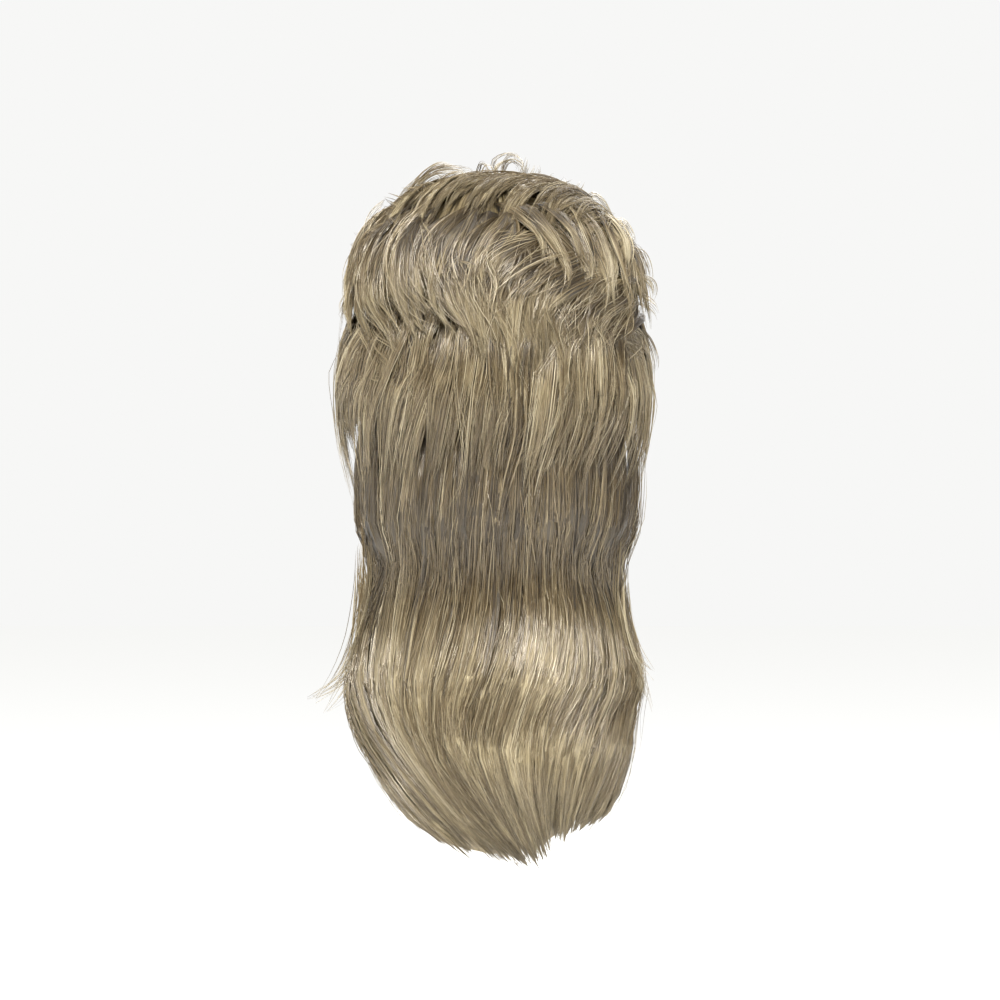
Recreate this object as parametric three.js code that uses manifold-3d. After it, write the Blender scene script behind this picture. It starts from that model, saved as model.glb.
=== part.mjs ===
// A mullet wig in ash-blond synthetic fibre, in millimetres, +Z up. The wearer faces +Y.
// The origin is the inside of the cap at the crown, where the wig sits on the top of a head.
import * as THREE from "three";
import { mergeVertices } from "three/addons/utils/BufferGeometryUtils.js";
import Module from "manifold-3d";

const wasm = await Module();
wasm.setup();

// Head that the cap is cut for
const CAP_BREADTH = 155;
const CAP_LENGTH = 198;
const CROWN_HEIGHT = 106; // from the ears' level up to the crown
const CAP_WALL = 1.8;

// Edge of the cap, measured down from the crown
const HAIRLINE_DROP = 56;
const EAR_NOTCH_DROP = 104;
const EAR_TAB_DROP = 126;
const NAPE_DROP = 186;

// How far the hair stands off the head
const TOP_HAIR = 35;
const SIDE_HAIR = 32.5;
const BACK_HAIR = 34;
const FRONT_HAIR = 24;

// Where the hair hangs, measured down from the crown
const JAW_DROP = 208;
const NECK_DROP = 268;
const SHOULDER_DROP = 330;
const TIP_DROP = 444;

// Width of the hollow that the hair leaves for the jaw, the neck and the shoulders
const JAW_HOLLOW = 136;
const NECK_HOLLOW = 132;
const SHOULDER_HOLLOW = 174;

// The locks
const LOCK_WIDTH = 26;
const LOCK_THICKNESS = 10;
const LOCK_SIDES = 4;
const LOCK_STEPS = 7;
const TAIL_LOCK_STEPS = 10;
const DOME_COLUMNS = 30;
const BLUNT_ROOT = 0.8; // how far the root's first ring lies from where even steps would put it
const SMALL_STEP = 0.01;

const WEFT_GAP = 1.2; // from the cap to the sewn rows of hair, as the flat facets of both allow
const GAP = 0.3; // between layers of hair
const SMALLEST_DETAIL = 0.1; // facets smaller than this are merged
const SAME_VERTEX = 1e-4; // vertices closer than this are one

// Sections of the head, neck and hair from the ears down. side, back and front are the half sizes of the
// hollow, as shares of its width. The hair's thickness there is a share of its thickness at the ears.
const EARS = {
  drop: CROWN_HEIGHT,
  hollow: CAP_BREADTH,
  side: 0.5,
  back: (0.5 * CAP_LENGTH) / CAP_BREADTH,
  front: (0.5 * CAP_LENGTH) / CAP_BREADTH,
  sideHair: 1,
  backHair: 1,
  frontHair: 1,
};
const JAW = {
  drop: JAW_DROP,
  hollow: JAW_HOLLOW,
  side: 0.5,
  back: 0.58,
  front: 0.44,
  sideHair: 1,
  backHair: 1.12,
  frontHair: 0.8,
};
const NECK = {
  drop: NECK_DROP,
  hollow: NECK_HOLLOW,
  side: 0.5,
  back: 0.57,
  front: 0.3,
  sideHair: 0.7,
  backHair: 0.76,
  frontHair: 0.6,
};
const SHOULDERS = {
  drop: SHOULDER_DROP,
  hollow: SHOULDER_HOLLOW,
  side: 0.5,
  back: 0.59,
  front: 0.17,
  sideHair: 0.62,
  backHair: 0.76,
  frontHair: 0.7,
};
const TIP = {
  drop: TIP_DROP,
  hollow: SHOULDER_HOLLOW,
  side: 0.49,
  back: 0.57,
  front: 0.17,
  sideHair: 0.55,
  backHair: 0.7,
  frontHair: 0.7,
};
const SECTIONS = [EARS, JAW, NECK, SHOULDERS, TIP];
const HEAD_ROUNDNESS = 1;
const HAIR_ROUNDNESS = 0.75; // under 1, the teased crown is squarer than the head

// A measure of the sections, as one smooth curve over t, which counts the rows from the ears down.
function alongSections(measure, t) {
  const last = SECTIONS.length - 1;
  const i = Math.min(Math.floor(t), last - 1);
  const f = t - i;
  const value = (row) => measure(SECTIONS[Math.min(row, last)]);
  const slopeIn = i === 0 ? 0 : (value(i + 1) - value(i - 1)) / 2;
  const slopeOut = (value(i + 2) - value(i)) / 2;
  const start = value(i) * (1 + 2 * f) * (1 - f) ** 2 + slopeIn * f * (1 - f) ** 2;
  const end = value(i + 1) * f * f * (3 - 2 * f) - slopeOut * f * f * (1 - f);
  return start + end;
}

// A point on the head and neck (hair 0) or on the outside of the hair (hair 1). The azimuth is in degrees
// from the back of the head to the wearer's right. The level is 0 at the crown, 1 at the ears, 2 at the jaw,
// 3 at the neck, 4 at the shoulders and 5 at the tip.
function bodyPoint(azimuth, level, hair) {
  const t = THREE.MathUtils.clamp(level - 1, 0, SECTIONS.length - 1);
  const side = alongSections((row) => row.side * row.hollow + hair * row.sideHair * SIDE_HAIR, t);
  const back = alongSections((row) => row.back * row.hollow + hair * row.backHair * BACK_HAIR, t);
  const front = alongSections((row) => row.front * row.hollow + hair * row.frontHair * FRONT_HAIR, t);
  const row = Math.min(Math.floor(t), SECTIONS.length - 2);
  let spread = 1;
  let z = -THREE.MathUtils.lerp(SECTIONS[row].drop, SECTIONS[row + 1].drop, t - row);
  if (level < 1) {
    const roundness = hair ? HAIR_ROUNDNESS : HEAD_ROUNDNESS;
    const tilt = (level * Math.PI) / 2;
    spread = Math.sin(tilt) ** roundness;
    z = -CROWN_HEIGHT + (CROWN_HEIGHT + hair * TOP_HAIR) * Math.cos(tilt) ** roundness;
  }
  const a = THREE.MathUtils.degToRad(azimuth);
  const depth = Math.cos(a) > 0 ? back : front;
  return new THREE.Vector3(side * spread * Math.sin(a), -depth * spread * Math.cos(a), z);
}

// A point a number of millimetres out from the head or neck.
function risePoint(azimuth, level, rise) {
  const head = bodyPoint(azimuth, level, 0);
  const out = bodyPoint(azimuth, level, 1).sub(head).normalize();
  return head.addScaledVector(out, rise);
}

// A point in the hair. A lift of 0 lies on the cap, and a lift of 1 is the hair's outside.
function hairPoint(azimuth, level, lift) {
  const depth = bodyPoint(azimuth, level, 1).distanceTo(bodyPoint(azimuth, level, 0));
  const seat = CAP_WALL + WEFT_GAP;
  return risePoint(azimuth, level, seat + lift * (depth - seat));
}

// A closed solid from a geometry, whatever way round its faces were.
function solidOf(geometry) {
  geometry.deleteAttribute("normal");
  geometry.deleteAttribute("uv");
  const merged = mergeVertices(geometry, SAME_VERTEX);
  const vertProperties = new Float32Array(merged.attributes.position.array);
  const triVerts = new Uint32Array(merged.index.array);
  const make = () => new wasm.Manifold(new wasm.Mesh({ numProp: 3, vertProperties, triVerts }));
  const solid = make();
  if (solid.volume() > 0) return solid;
  for (let i = 0; i < triVerts.length; i += 3) {
    [triVerts[i + 1], triVerts[i + 2]] = [triVerts[i + 2], triVerts[i + 1]];
  }
  return make();
}

// Moves each vertex of a geometry to where place puts it.
function bend(geometry, place) {
  const position = geometry.attributes.position;
  const vertex = new THREE.Vector3();
  for (let i = 0; i < position.count; i++) {
    vertex.fromBufferAttribute(position, i);
    const moved = place(vertex);
    position.setXYZ(i, moved.x, moved.y, moved.z);
  }
  return geometry;
}

// A value of a table at an azimuth, straight between its rows.
function atAzimuth(table, azimuth, column) {
  const next = table.findIndex((row) => row.azimuth >= azimuth);
  if (next < 0) return table.at(-1)[column];
  if (next === 0) return table[0][column];
  const [a, b] = [table[next - 1], table[next]];
  const f = (azimuth - a.azimuth) / (b.azimuth - a.azimuth);
  return THREE.MathUtils.lerp(a[column], b[column], f);
}

// A dome that goes all the way round the head, open at the bottom. edge gives its lowest level at an azimuth,
// and inner and outer place its two faces.
function dome({ edge, inner, outer, rows }) {
  const shares = Array.from({ length: rows + 1 }, (_, i) => i / rows);
  const outline = [
    ...shares.map((share) => new THREE.Vector2(share, 1)),
    ...shares.reverse().map((share) => new THREE.Vector2(share, 0)),
  ];
  const lathe = new THREE.LatheGeometry(outline, DOME_COLUMNS);
  return solidOf(
    bend(lathe, (vertex) => {
      const azimuth = THREE.MathUtils.radToDeg(Math.atan2(vertex.x, -vertex.z));
      const level = Math.hypot(vertex.x, vertex.z) * edge(Math.abs(azimuth));
      return vertex.y > 0.5 ? outer(azimuth, level) : inner(azimuth, level);
    }),
  );
}

// A sheet of hair between two azimuths, closed along its edges. top and bottom give its levels at an azimuth,
// and thick gives its lift at a level.
function sheet({ from, to, top, bottom, thick, columns, rows }) {
  const block = new THREE.BoxGeometry(1, 1, 1, columns, rows, 1);
  return solidOf(
    bend(block, (vertex) => {
      const azimuth = THREE.MathUtils.lerp(from, to, vertex.x + 0.5);
      const level = THREE.MathUtils.lerp(bottom(azimuth), top(azimuth), vertex.y + 0.5);
      return hairPoint(azimuth, level, vertex.z > 0 ? thick(level) : 0);
    }),
  );
}

// How wide a lock is along its length, as a share: full from a third of the way, then tapering to its end.
function lockShape(along) {
  const root = THREE.MathUtils.smoothstep(along, -0.25, 0.32);
  const taper = Math.max(0, (along - 0.42) / 0.58);
  return root * (1 - taper ** 1.9);
}

// One lock: a flat, pointed body that follows its stops, each an azimuth, a level and a lift.
// grow makes it that much bigger all round.
function lock({ azimuth, level, lift, width = 1, steps = LOCK_STEPS }, grow) {
  const stops = azimuth.map((value, i) => new THREE.Vector3(value, level[i], lift[i]));
  const route = new THREE.CatmullRomCurve3(stops, false, "catmullrom", 0.5);
  const pointAt = (along, extraLift = 0) => {
    const stop = route.getPoint(THREE.MathUtils.clamp(along, 0, 1));
    return hairPoint(stop.x, stop.y, stop.z + extraLift);
  };
  const halfWidth = (width * LOCK_WIDTH) / 2;
  const halfThickness = LOCK_THICKNESS / 2;

  // The middle of the lock and its three directions, at a ring of the ball that becomes the lock
  const frameAt = (ring) => {
    const along = ring === 0 ? 0 : (ring - BLUNT_ROOT) / (steps - BLUNT_ROOT);
    const middle = pointAt(along);
    const forward = pointAt(along + SMALL_STEP).sub(pointAt(along - SMALL_STEP)).normalize();
    const up = pointAt(along, SMALL_STEP).sub(middle).normalize();
    const sideways = new THREE.Vector3().crossVectors(forward, up).normalize();
    const outward = new THREE.Vector3().crossVectors(sideways, forward);
    return { middle, forward, sideways, outward, share: lockShape(along) };
  };
  const rings = Array.from({ length: steps + 1 }, (_, ring) => frameAt(ring));

  const ball = new THREE.SphereGeometry(1, LOCK_SIDES, steps);
  return solidOf(
    bend(ball, (vertex) => {
      const ring = Math.round((Math.acos(THREE.MathUtils.clamp(vertex.y, -1, 1)) / Math.PI) * steps);
      const { middle, forward, sideways, outward, share } = rings[ring];
      if (ring === 0) return middle.clone().addScaledVector(forward, -grow);
      if (ring === steps) return middle.clone().addScaledVector(forward, grow);
      const round = Math.hypot(vertex.x, vertex.z);
      return middle
        .clone()
        .addScaledVector(sideways, (vertex.x / round) * (share * halfWidth + grow))
        .addScaledVector(outward, (vertex.z / round) * (share * halfThickness + grow));
    }),
  );
}

// Joins solids into one.
const join = (solids) => solids.reduce((all, next) => all.add(next));

// The outer skin of the largest body of a solid, without the crumbs and sealed pockets that joins and cuts leave.
function mainBody(solid) {
  return solid.decompose().reduce((a, b) => (b.volume() > a.volume() ? b : a));
}

// Edge of the cap: a drop at each azimuth
const CAP_EDGE = [
  { azimuth: 0, drop: NAPE_DROP },
  { azimuth: 27, drop: 0.99 * NAPE_DROP },
  { azimuth: 45, drop: 0.92 * NAPE_DROP },
  { azimuth: 63, drop: 0.7 * NAPE_DROP },
  { azimuth: 81, drop: EAR_NOTCH_DROP },
  { azimuth: 90, drop: EAR_NOTCH_DROP },
  { azimuth: 99, drop: EAR_TAB_DROP },
  { azimuth: 108, drop: EAR_TAB_DROP },
  { azimuth: 126, drop: 1.45 * HAIRLINE_DROP },
  { azimuth: 153, drop: 1.06 * HAIRLINE_DROP },
  { azimuth: 180, drop: HAIRLINE_DROP },
];

// The level at which the head reaches a drop.
function levelOf(drop) {
  if (drop < CROWN_HEIGHT) return (Math.acos(1 - drop / CROWN_HEIGHT) * 2) / Math.PI;
  const row = SECTIONS.findLastIndex((section, i) => section.drop <= drop && i < SECTIONS.length - 1);
  return 1 + row + (drop - SECTIONS[row].drop) / (SECTIONS[row + 1].drop - SECTIONS[row].drop);
}

// The cap. room makes it that much bigger, as a cutter that clears a space round it.
function wigCap(room = 0) {
  return dome({
    edge: (azimuth) => levelOf(atAzimuth(CAP_EDGE, azimuth, "drop") + room),
    inner: (azimuth, level) => risePoint(azimuth, level, -room),
    outer: (azimuth, level) => risePoint(azimuth, level, CAP_WALL + room),
    rows: 8,
  });
}

// Lower edge of the crown's teased body, which is short over the forehead
const CROWN_EDGE = [
  { azimuth: 0, level: 0.76 },
  { azimuth: 132, level: 0.75 },
  { azimuth: 144, level: 0.46 },
  { azimuth: 180, level: 0.46 },
];

// The crown's locks as the back shows them, from the left edge round to the right
const CROWN_LOCKS = [
  { azimuth: [-68, -90, -92, -96], level: [0.19, 0.55, 0.76, 0.95], lift: [0.7, 0.85, 0.9, 0.8] },
  { azimuth: [-24, -55, -61, -41], level: [0.2, 0.56, 0.75, 0.97], lift: [0.7, 0.8, 0.85, 0.75] },
  { azimuth: [-12, -46, -41, -22], level: [0.26, 0.59, 0.75, 0.98], lift: [0.7, 0.8, 0.8, 0.75] },
  { azimuth: [-3, -33, -28, -7], level: [0.33, 0.6, 0.78, 0.98], lift: [0.7, 0.85, 0.85, 0.8] },
  { azimuth: [4, -20, -19, 1], level: [0.33, 0.61, 0.77, 0.99], lift: [0.7, 0.75, 0.8, 0.75] },
  { azimuth: [37, -1, -6, -3], level: [0.31, 0.59, 0.76, 1.02], lift: [0.7, 0.85, 0.85, 0.8] },
  { azimuth: [58, 14, 2, 5], level: [0.39, 0.6, 0.75, 1.03], lift: [0.7, 0.8, 0.8, 0.75] },
  { azimuth: [74, 26, 10, 14], level: [0.49, 0.61, 0.77, 1.05], lift: [0.6, 0.8, 0.8, 0.75] },
  { azimuth: [79, 34, 17, 21], level: [0.62, 0.68, 0.81, 1.08], lift: [0.6, 0.85, 0.85, 0.8] },
  { azimuth: [79, 43, 27, 28], level: [0.7, 0.74, 0.83, 1.1], lift: [0.6, 0.85, 0.85, 0.8] },
  { azimuth: [90, 75, 67, 76], level: [0.16, 0.49, 0.76, 0.98], lift: [0.7, 0.8, 0.85, 0.8] },
  { azimuth: [90, 88, 90, 92], level: [0.3, 0.58, 0.77, 0.95], lift: [0.7, 0.85, 0.92, 0.9] },
  { azimuth: [58, 41, 20, -2], level: [0.74, 0.9, 1.06, 1.42], lift: [0.5, 0.86, 0.88, 0.86], width: 0.8 },
  { azimuth: [46, 53, 67, 88], level: [0.7, 0.86, 0.95, 1.04], lift: [0.4, 0.85, 0.9, 0.95], width: 0.8 },
  { azimuth: [40, 48, 47, 35], level: [0.72, 1.0, 1.35, 1.72], lift: [0.4, 0.9, 0.92, 0.88], width: 0.9 },
  { azimuth: [70, 86, 90, 88], level: [0.72, 0.98, 1.35, 1.85], lift: [0.4, 0.85, 0.98, 0.98], width: 0.9 },
];

// Locks over the rest of the crown, which fall from the parting on the top
const CROWN_RING = [
  { azimuth: 106, end: 1.18 },
  { azimuth: 121, end: 1.1 },
  { azimuth: 136, end: 0.98 },
  { azimuth: 151, end: 0.82 },
  { azimuth: 165, end: 0.76 },
  { azimuth: 180, end: 0.8 },
  { azimuth: 195, end: 0.75 },
  { azimuth: 209, end: 0.84 },
  { azimuth: 224, end: 0.98 },
  { azimuth: 239, end: 1.12 },
  { azimuth: 254, end: 1.18 },
];

// Tufts that stand off the top, from the left edge to the right
const TUFTS = [
  { azimuth: [-78, -84, -60], level: [0.3, 0.24, 0.13], lift: [0.8, 1.2, 1.42], width: 0.35 },
  { azimuth: [-60, -30, -20], level: [0.16, 0.12, 0.1], lift: [0.8, 1.15, 1.4], width: 0.4 },
  { azimuth: [0, -20, -60], level: [0.16, 0.08, 0.04], lift: [0.8, 1.2, 1.45], width: 0.35 },
  { azimuth: [60, 40, 20], level: [0.1, 0.08, 0.08], lift: [0.8, 1.15, 1.38], width: 0.4 },
  { azimuth: [90, 80, 78], level: [0.14, 0.2, 0.24], lift: [0.8, 1.1, 1.35], width: 0.45 },
  { azimuth: [80, 86, 92], level: [0.34, 0.48, 0.6], lift: [0.7, 1.0, 1.12], width: 0.5 },
  { azimuth: [84, 92, 96], level: [0.56, 0.72, 0.84], lift: [0.7, 1.0, 1.12], width: 0.5 },
  { azimuth: [-80, -92, -98], level: [0.6, 0.76, 0.88], lift: [0.7, 0.98, 1.06], width: 0.5 },
];

const crownRing = () =>
  CROWN_RING.map(({ azimuth, end }, i) => {
    const sway = i % 2 ? 6 : -6;
    return {
      azimuth: [azimuth, azimuth + sway, azimuth + sway, azimuth - sway],
      level: [0.14, 0.45 * end, 0.75 * end, end],
      lift: [0.8, 0.88, 0.88, 0.8],
      width: 1.35,
    };
  });

// How far the teased body reaches out to the hair's outside at a level
const crownLift = (level) => THREE.MathUtils.lerp(0.94, 0.52, THREE.MathUtils.smoothstep(level, 0.3, 0.64));

function crownHair(grow) {
  const body = dome({
    edge: (azimuth) => atAzimuth(CROWN_EDGE, azimuth, "level") + grow / CROWN_HEIGHT,
    inner: (azimuth, level) => risePoint(azimuth, level, CAP_WALL + WEFT_GAP - grow),
    outer: (azimuth, level) => hairPoint(azimuth, level, crownLift(level) + grow / TOP_HAIR),
    rows: 6,
  });
  return join([body, ...[...CROWN_LOCKS, ...crownRing(), ...TUFTS].map((row) => lock(row, grow))]);
}

// Lower and upper edges of the sheets below the crown, as levels
const BACK_TOP = 0.785;
const BACK_BOTTOM = 1.2;
const TAIL_TOP = 1.24;
const SIDE_TOP = 0.785;
const SIDE_BOTTOM = 1.36;
const FRINGE_TOP = 0.485;
const FRINGE_BOTTOM = 0.69;

const SHEET_LIFT = 0.45; // how far a sheet reaches out to the hair's outside

// Azimuths at which the layers end
const BACK_EDGE = 86;
const SIDE_FROM = 90;
const SIDE_TO = 132;
const FRINGE_EDGE = 139;
const TAIL_EDGE = 87;

const BACK_LOCKS = [
  { azimuth: [-72, -84, -88, -86], level: [0.84, 1.04, 1.45, 1.95], lift: [0.4, 0.72, 0.88, 0.86] },
  { azimuth: [-58, -69, -71, -59], level: [0.84, 1.07, 1.42, 1.76], lift: [0.4, 0.68, 0.8, 0.7] },
  { azimuth: [-46, -45, -50, -63], level: [0.84, 1.07, 1.42, 1.9], lift: [0.4, 0.66, 0.78, 0.72] },
  { azimuth: [-31, -31, -36, -45], level: [0.84, 1.07, 1.42, 1.83], lift: [0.4, 0.66, 0.78, 0.72] },
  { azimuth: [-21, -25, -20, -8], level: [0.84, 1.0, 1.22, 1.55], lift: [0.4, 0.66, 0.84, 0.82] },
  { azimuth: [-12, -13, -9, -9], level: [0.84, 1.07, 1.35, 1.83], lift: [0.4, 0.64, 0.74, 0.7] },
  { azimuth: [-2, -2, -3, -4], level: [0.84, 1.07, 1.35, 1.69], lift: [0.4, 0.62, 0.74, 0.72] },
  { azimuth: [8, 8, 5, 1], level: [0.84, 1.07, 1.35, 1.68], lift: [0.4, 0.62, 0.74, 0.72] },
  { azimuth: [20, 18, 14, 9], level: [0.84, 1.14, 1.42, 1.72], lift: [0.4, 0.62, 0.76, 0.72] },
  { azimuth: [33, 28, 25, 20], level: [0.84, 1.21, 1.48, 1.83], lift: [0.4, 0.64, 0.76, 0.72] },
  { azimuth: [47, 48, 44, 35], level: [0.84, 1.28, 1.55, 1.9], lift: [0.4, 0.64, 0.74, 0.7] },
  { azimuth: [64, 72, 78, 78], level: [0.84, 1.14, 1.5, 1.98], lift: [0.4, 0.66, 0.84, 0.92] },
];

function backHair(grow) {
  const body = sheet({
    from: -BACK_EDGE,
    to: BACK_EDGE,
    top: () => BACK_TOP,
    bottom: () => BACK_BOTTOM,
    thick: () => SHEET_LIFT + grow / BACK_HAIR,
    columns: 14,
    rows: 3,
  });
  return join([body, ...BACK_LOCKS.map((row) => lock(row, grow))]);
}

// The tail's locks, from its left edge to its right. Each passes the levels of TAIL_STOPS at its azimuths,
// and the last is where it ends.
const TAIL_STOPS = [
  { level: 1.3, lift: 0.3 },
  { level: 1.95, lift: 0.78 },
  { level: 2.93, lift: 0.74 },
  { level: 3.4, lift: 0.8 },
  { level: 3.89, lift: 0.8 },
  { level: 4.45, lift: 0.8 },
];
const TAIL_LOCKS = [
  { azimuth: [-84, -90, -89, -89, -84, -52, -18], end: 4.8 },
  { azimuth: [-63, -66, -68, -71, -72, -46, -10], end: 4.9 },
  { azimuth: [-47, -50, -53, -56, -58, -40, -6], end: 4.96 },
  { azimuth: [-35, -37, -40, -43, -46, -33, 0], end: 4.94 },
  { azimuth: [-24, -26, -29, -33, -36, -27, 6], end: 4.98 },
  { azimuth: [-14, -16, -18, -21, -24, -22, 12], end: 4.95 },
  { azimuth: [-6, -7, -8, -10, -13, -15, 18], end: 5 },
  { azimuth: [2, 2, 3, 0, -2, -8, 14], end: 4.96 },
  { azimuth: [11, 11, 12, 11, 10, 0, 6], end: 4.9 },
  { azimuth: [21, 22, 23, 22, 21, 10, 8], end: 4.94 },
  { azimuth: [32, 33, 34, 34, 33, 22, 14], end: 4.88 },
  { azimuth: [44, 46, 47, 47, 46, 34, 17], end: 4.9 },
  { azimuth: [60, 62, 64, 64, 61, 42, 22], end: 4.84 },
  { azimuth: [82, 88, 87, 87, 81, 50, 28], end: 4.76 },
];

// Thin locks that turn out from the tail's edges
const TAIL_FLICKS = [
  { azimuth: [-84, -88, -92, -93], level: [2.9, 3.4, 3.82, 4.02], lift: [0.6, 0.9, 1.5, 2.5], width: 0.4 },
  { azimuth: [-80, -88, -90, -88], level: [2.4, 2.9, 3.3, 3.75], lift: [0.6, 0.9, 1, 0.9], width: 0.5 },
  { azimuth: [80, 88, 92], level: [2.9, 3.5, 3.9], lift: [0.6, 1, 1.45], width: 0.4 },
];

// Lower edge of the tail's inner sheet
const TAIL_EDGES = [
  { azimuth: 0, level: 4.84 },
  { azimuth: 19, level: 4.74 },
  { azimuth: 37, level: 4.6 },
  { azimuth: 52, level: 4.46 },
  { azimuth: 66, level: 4.32 },
  { azimuth: TAIL_EDGE, level: 4.1 },
];

const tailLocks = () =>
  TAIL_LOCKS.map(({ azimuth, end }) => ({
    azimuth,
    level: [...TAIL_STOPS.map((stop) => stop.level), end],
    lift: [...TAIL_STOPS.map((stop) => stop.lift), 0.75],
    steps: TAIL_LOCK_STEPS,
  }));

function tailHair(grow) {
  const body = sheet({
    from: -TAIL_EDGE,
    to: TAIL_EDGE,
    top: () => TAIL_TOP,
    bottom: (azimuth) => atAzimuth(TAIL_EDGES, Math.abs(azimuth), "level"),
    thick: (level) => THREE.MathUtils.lerp(0.25, 0.6, THREE.MathUtils.smoothstep(level, 1.4, 2.2)),
    columns: 12,
    rows: 9,
  });
  return join([body, ...[...tailLocks(), ...TAIL_FLICKS].map((row) => lock(row, grow))]);
}

function sideHair(hand, grow) {
  const body = sheet({
    from: hand * SIDE_FROM,
    to: hand * SIDE_TO,
    top: () => SIDE_TOP,
    bottom: () => SIDE_BOTTOM,
    thick: () => SHEET_LIFT + grow / SIDE_HAIR,
    columns: 4,
    rows: 4,
  });
  const locks = Array.from({ length: 6 }, (_, i) => {
    const azimuth = THREE.MathUtils.lerp(SIDE_FROM + 4, SIDE_TO - 3, i / 5);
    const end = 1.62 - 0.06 * i - 0.07 * (i % 2);
    return {
      azimuth: [azimuth, azimuth - 1, azimuth - 3, azimuth - 7].map((value) => hand * value),
      level: [0.84, 1.06, 1.06 + 0.6 * (end - 1.06), end],
      lift: [0.4, 0.64, 0.76, 0.66],
    };
  });
  return join([body, ...locks.map((row) => lock(row, grow))]);
}

function fringeHair(grow) {
  const body = sheet({
    from: FRINGE_EDGE,
    to: 360 - FRINGE_EDGE,
    top: () => FRINGE_TOP,
    bottom: () => FRINGE_BOTTOM,
    thick: () => SHEET_LIFT + grow / FRONT_HAIR,
    columns: 7,
    rows: 2,
  });
  const locks = Array.from({ length: 8 }, (_, i) => {
    const azimuth = THREE.MathUtils.lerp(FRINGE_EDGE + 4, 356 - FRINGE_EDGE, i / 7);
    return {
      azimuth: [azimuth, azimuth + 1, azimuth + 3, azimuth + 8],
      level: [0.51, 0.64, 0.78, 0.95 - 0.04 * (i % 2)],
      lift: [0.4, 0.6, 0.72, 0.6],
      width: 0.85,
    };
  });
  return join([body, ...locks.map((row) => lock(row, grow))]);
}

// The layers from the outside in. Each is cut back where it would meet the cap or a layer over it.
const LAYERS = [
  { name: "crown_hair", make: crownHair, color: 0xa79d83 },
  { name: "back_hair", make: backHair, color: 0x9c9176 },
  { name: "left_side_hair", make: (grow) => sideHair(-1, grow), color: 0x998e73 },
  { name: "right_side_hair", make: (grow) => sideHair(1, grow), color: 0x998e73 },
  { name: "fringe_hair", make: fringeHair, color: 0xa39a80 },
  { name: "tail_hair", make: tailHair, color: 0x958a6d },
];

function meshOf(name, solid, color, roughness) {
  const { vertProperties, triVerts } = solid.getMesh();
  const geometry = new THREE.BufferGeometry();
  geometry.setAttribute("position", new THREE.BufferAttribute(vertProperties, 3));
  geometry.setIndex(new THREE.BufferAttribute(triVerts, 1));
  geometry.computeVertexNormals();
  const mesh = new THREE.Mesh(geometry, new THREE.MeshStandardMaterial({ color, roughness, metalness: 0 }));
  mesh.name = name;
  return mesh;
}

const wig = new THREE.Group();
wig.add(meshOf("wig_cap", wigCap(), 0x8d7f68, 0.9));

const taken = [wigCap(GAP)];
for (const { name, make, color } of LAYERS) {
  const fitted = taken.reduce((hair, space) => hair.subtract(space), make(0));
  wig.add(meshOf(name, mainBody(fitted.simplify(SMALLEST_DETAIL)), color, 0.45));
  taken.push(make(GAP));
}

export default wig;
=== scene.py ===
"""A mullet wig in ash-blond synthetic fibre, hung in its worn shape and seen from straight behind.

Lengths are millimetres until a mesh is made. The wearer faces +Y, and the origin is the inside of the cap at
the crown. A place in the hair has an azimuth in degrees from the back of the head to the wearer's right, a
level (0 crown, 1 ears, 2 jaw, 3 neck, 4 shoulders, 5 tip) and a lift (0 on the cap, 1 the hair's outside).
"""

import math

import bmesh
import bpy
import numpy as np
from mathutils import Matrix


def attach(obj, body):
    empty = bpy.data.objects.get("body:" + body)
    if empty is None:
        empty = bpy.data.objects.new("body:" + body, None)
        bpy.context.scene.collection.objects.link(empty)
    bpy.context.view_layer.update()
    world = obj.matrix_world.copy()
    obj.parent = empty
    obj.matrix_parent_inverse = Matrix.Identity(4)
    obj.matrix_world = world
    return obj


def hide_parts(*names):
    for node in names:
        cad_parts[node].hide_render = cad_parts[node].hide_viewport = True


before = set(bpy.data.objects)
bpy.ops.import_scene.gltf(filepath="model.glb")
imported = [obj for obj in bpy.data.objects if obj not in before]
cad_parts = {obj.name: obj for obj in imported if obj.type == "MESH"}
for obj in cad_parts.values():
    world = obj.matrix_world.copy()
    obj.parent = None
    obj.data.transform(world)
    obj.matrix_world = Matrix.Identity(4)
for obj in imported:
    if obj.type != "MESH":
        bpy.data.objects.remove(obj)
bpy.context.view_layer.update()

MM = 0.001
CAMERA_DISTANCE = 2200
PICTURE_SIDE = 700
PICTURE_CENTRE = (3.85, -190.4)
FLOOR_DROP = 760

# The head that the cap is cut for, and the hair over it
CAP_WALL = 1.8
WEFT_GAP = 1.2
TOP_HAIR = 35
HEAD_ROUNDNESS = 1.0
HAIR_ROUNDNESS = 0.75
SECTIONS = {
    "drop": (106, 208, 268, 330, 444),
    "side": (77.5, 68, 66, 87, 85.3),
    "back": (99, 78.9, 75.2, 102.7, 99.2),
    "front": (99, 59.8, 39.6, 29.6, 29.6),
    "side_hair": (32.5, 32.5, 22.8, 20.2, 17.9),
    "back_hair": (34, 38.1, 25.8, 25.8, 23.8),
    "front_hair": (24, 19.2, 14.4, 16.8, 16.8),
}
CROWN_HEIGHT = SECTIONS["drop"][0]
TIP_LEVEL = len(SECTIONS["drop"])
CAP_EDGE = {0: 186, 27: 184, 45: 171, 63: 130, 81: 104, 90: 104, 99: 126, 108: 126, 126: 81, 153: 59, 180: 56}

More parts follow.
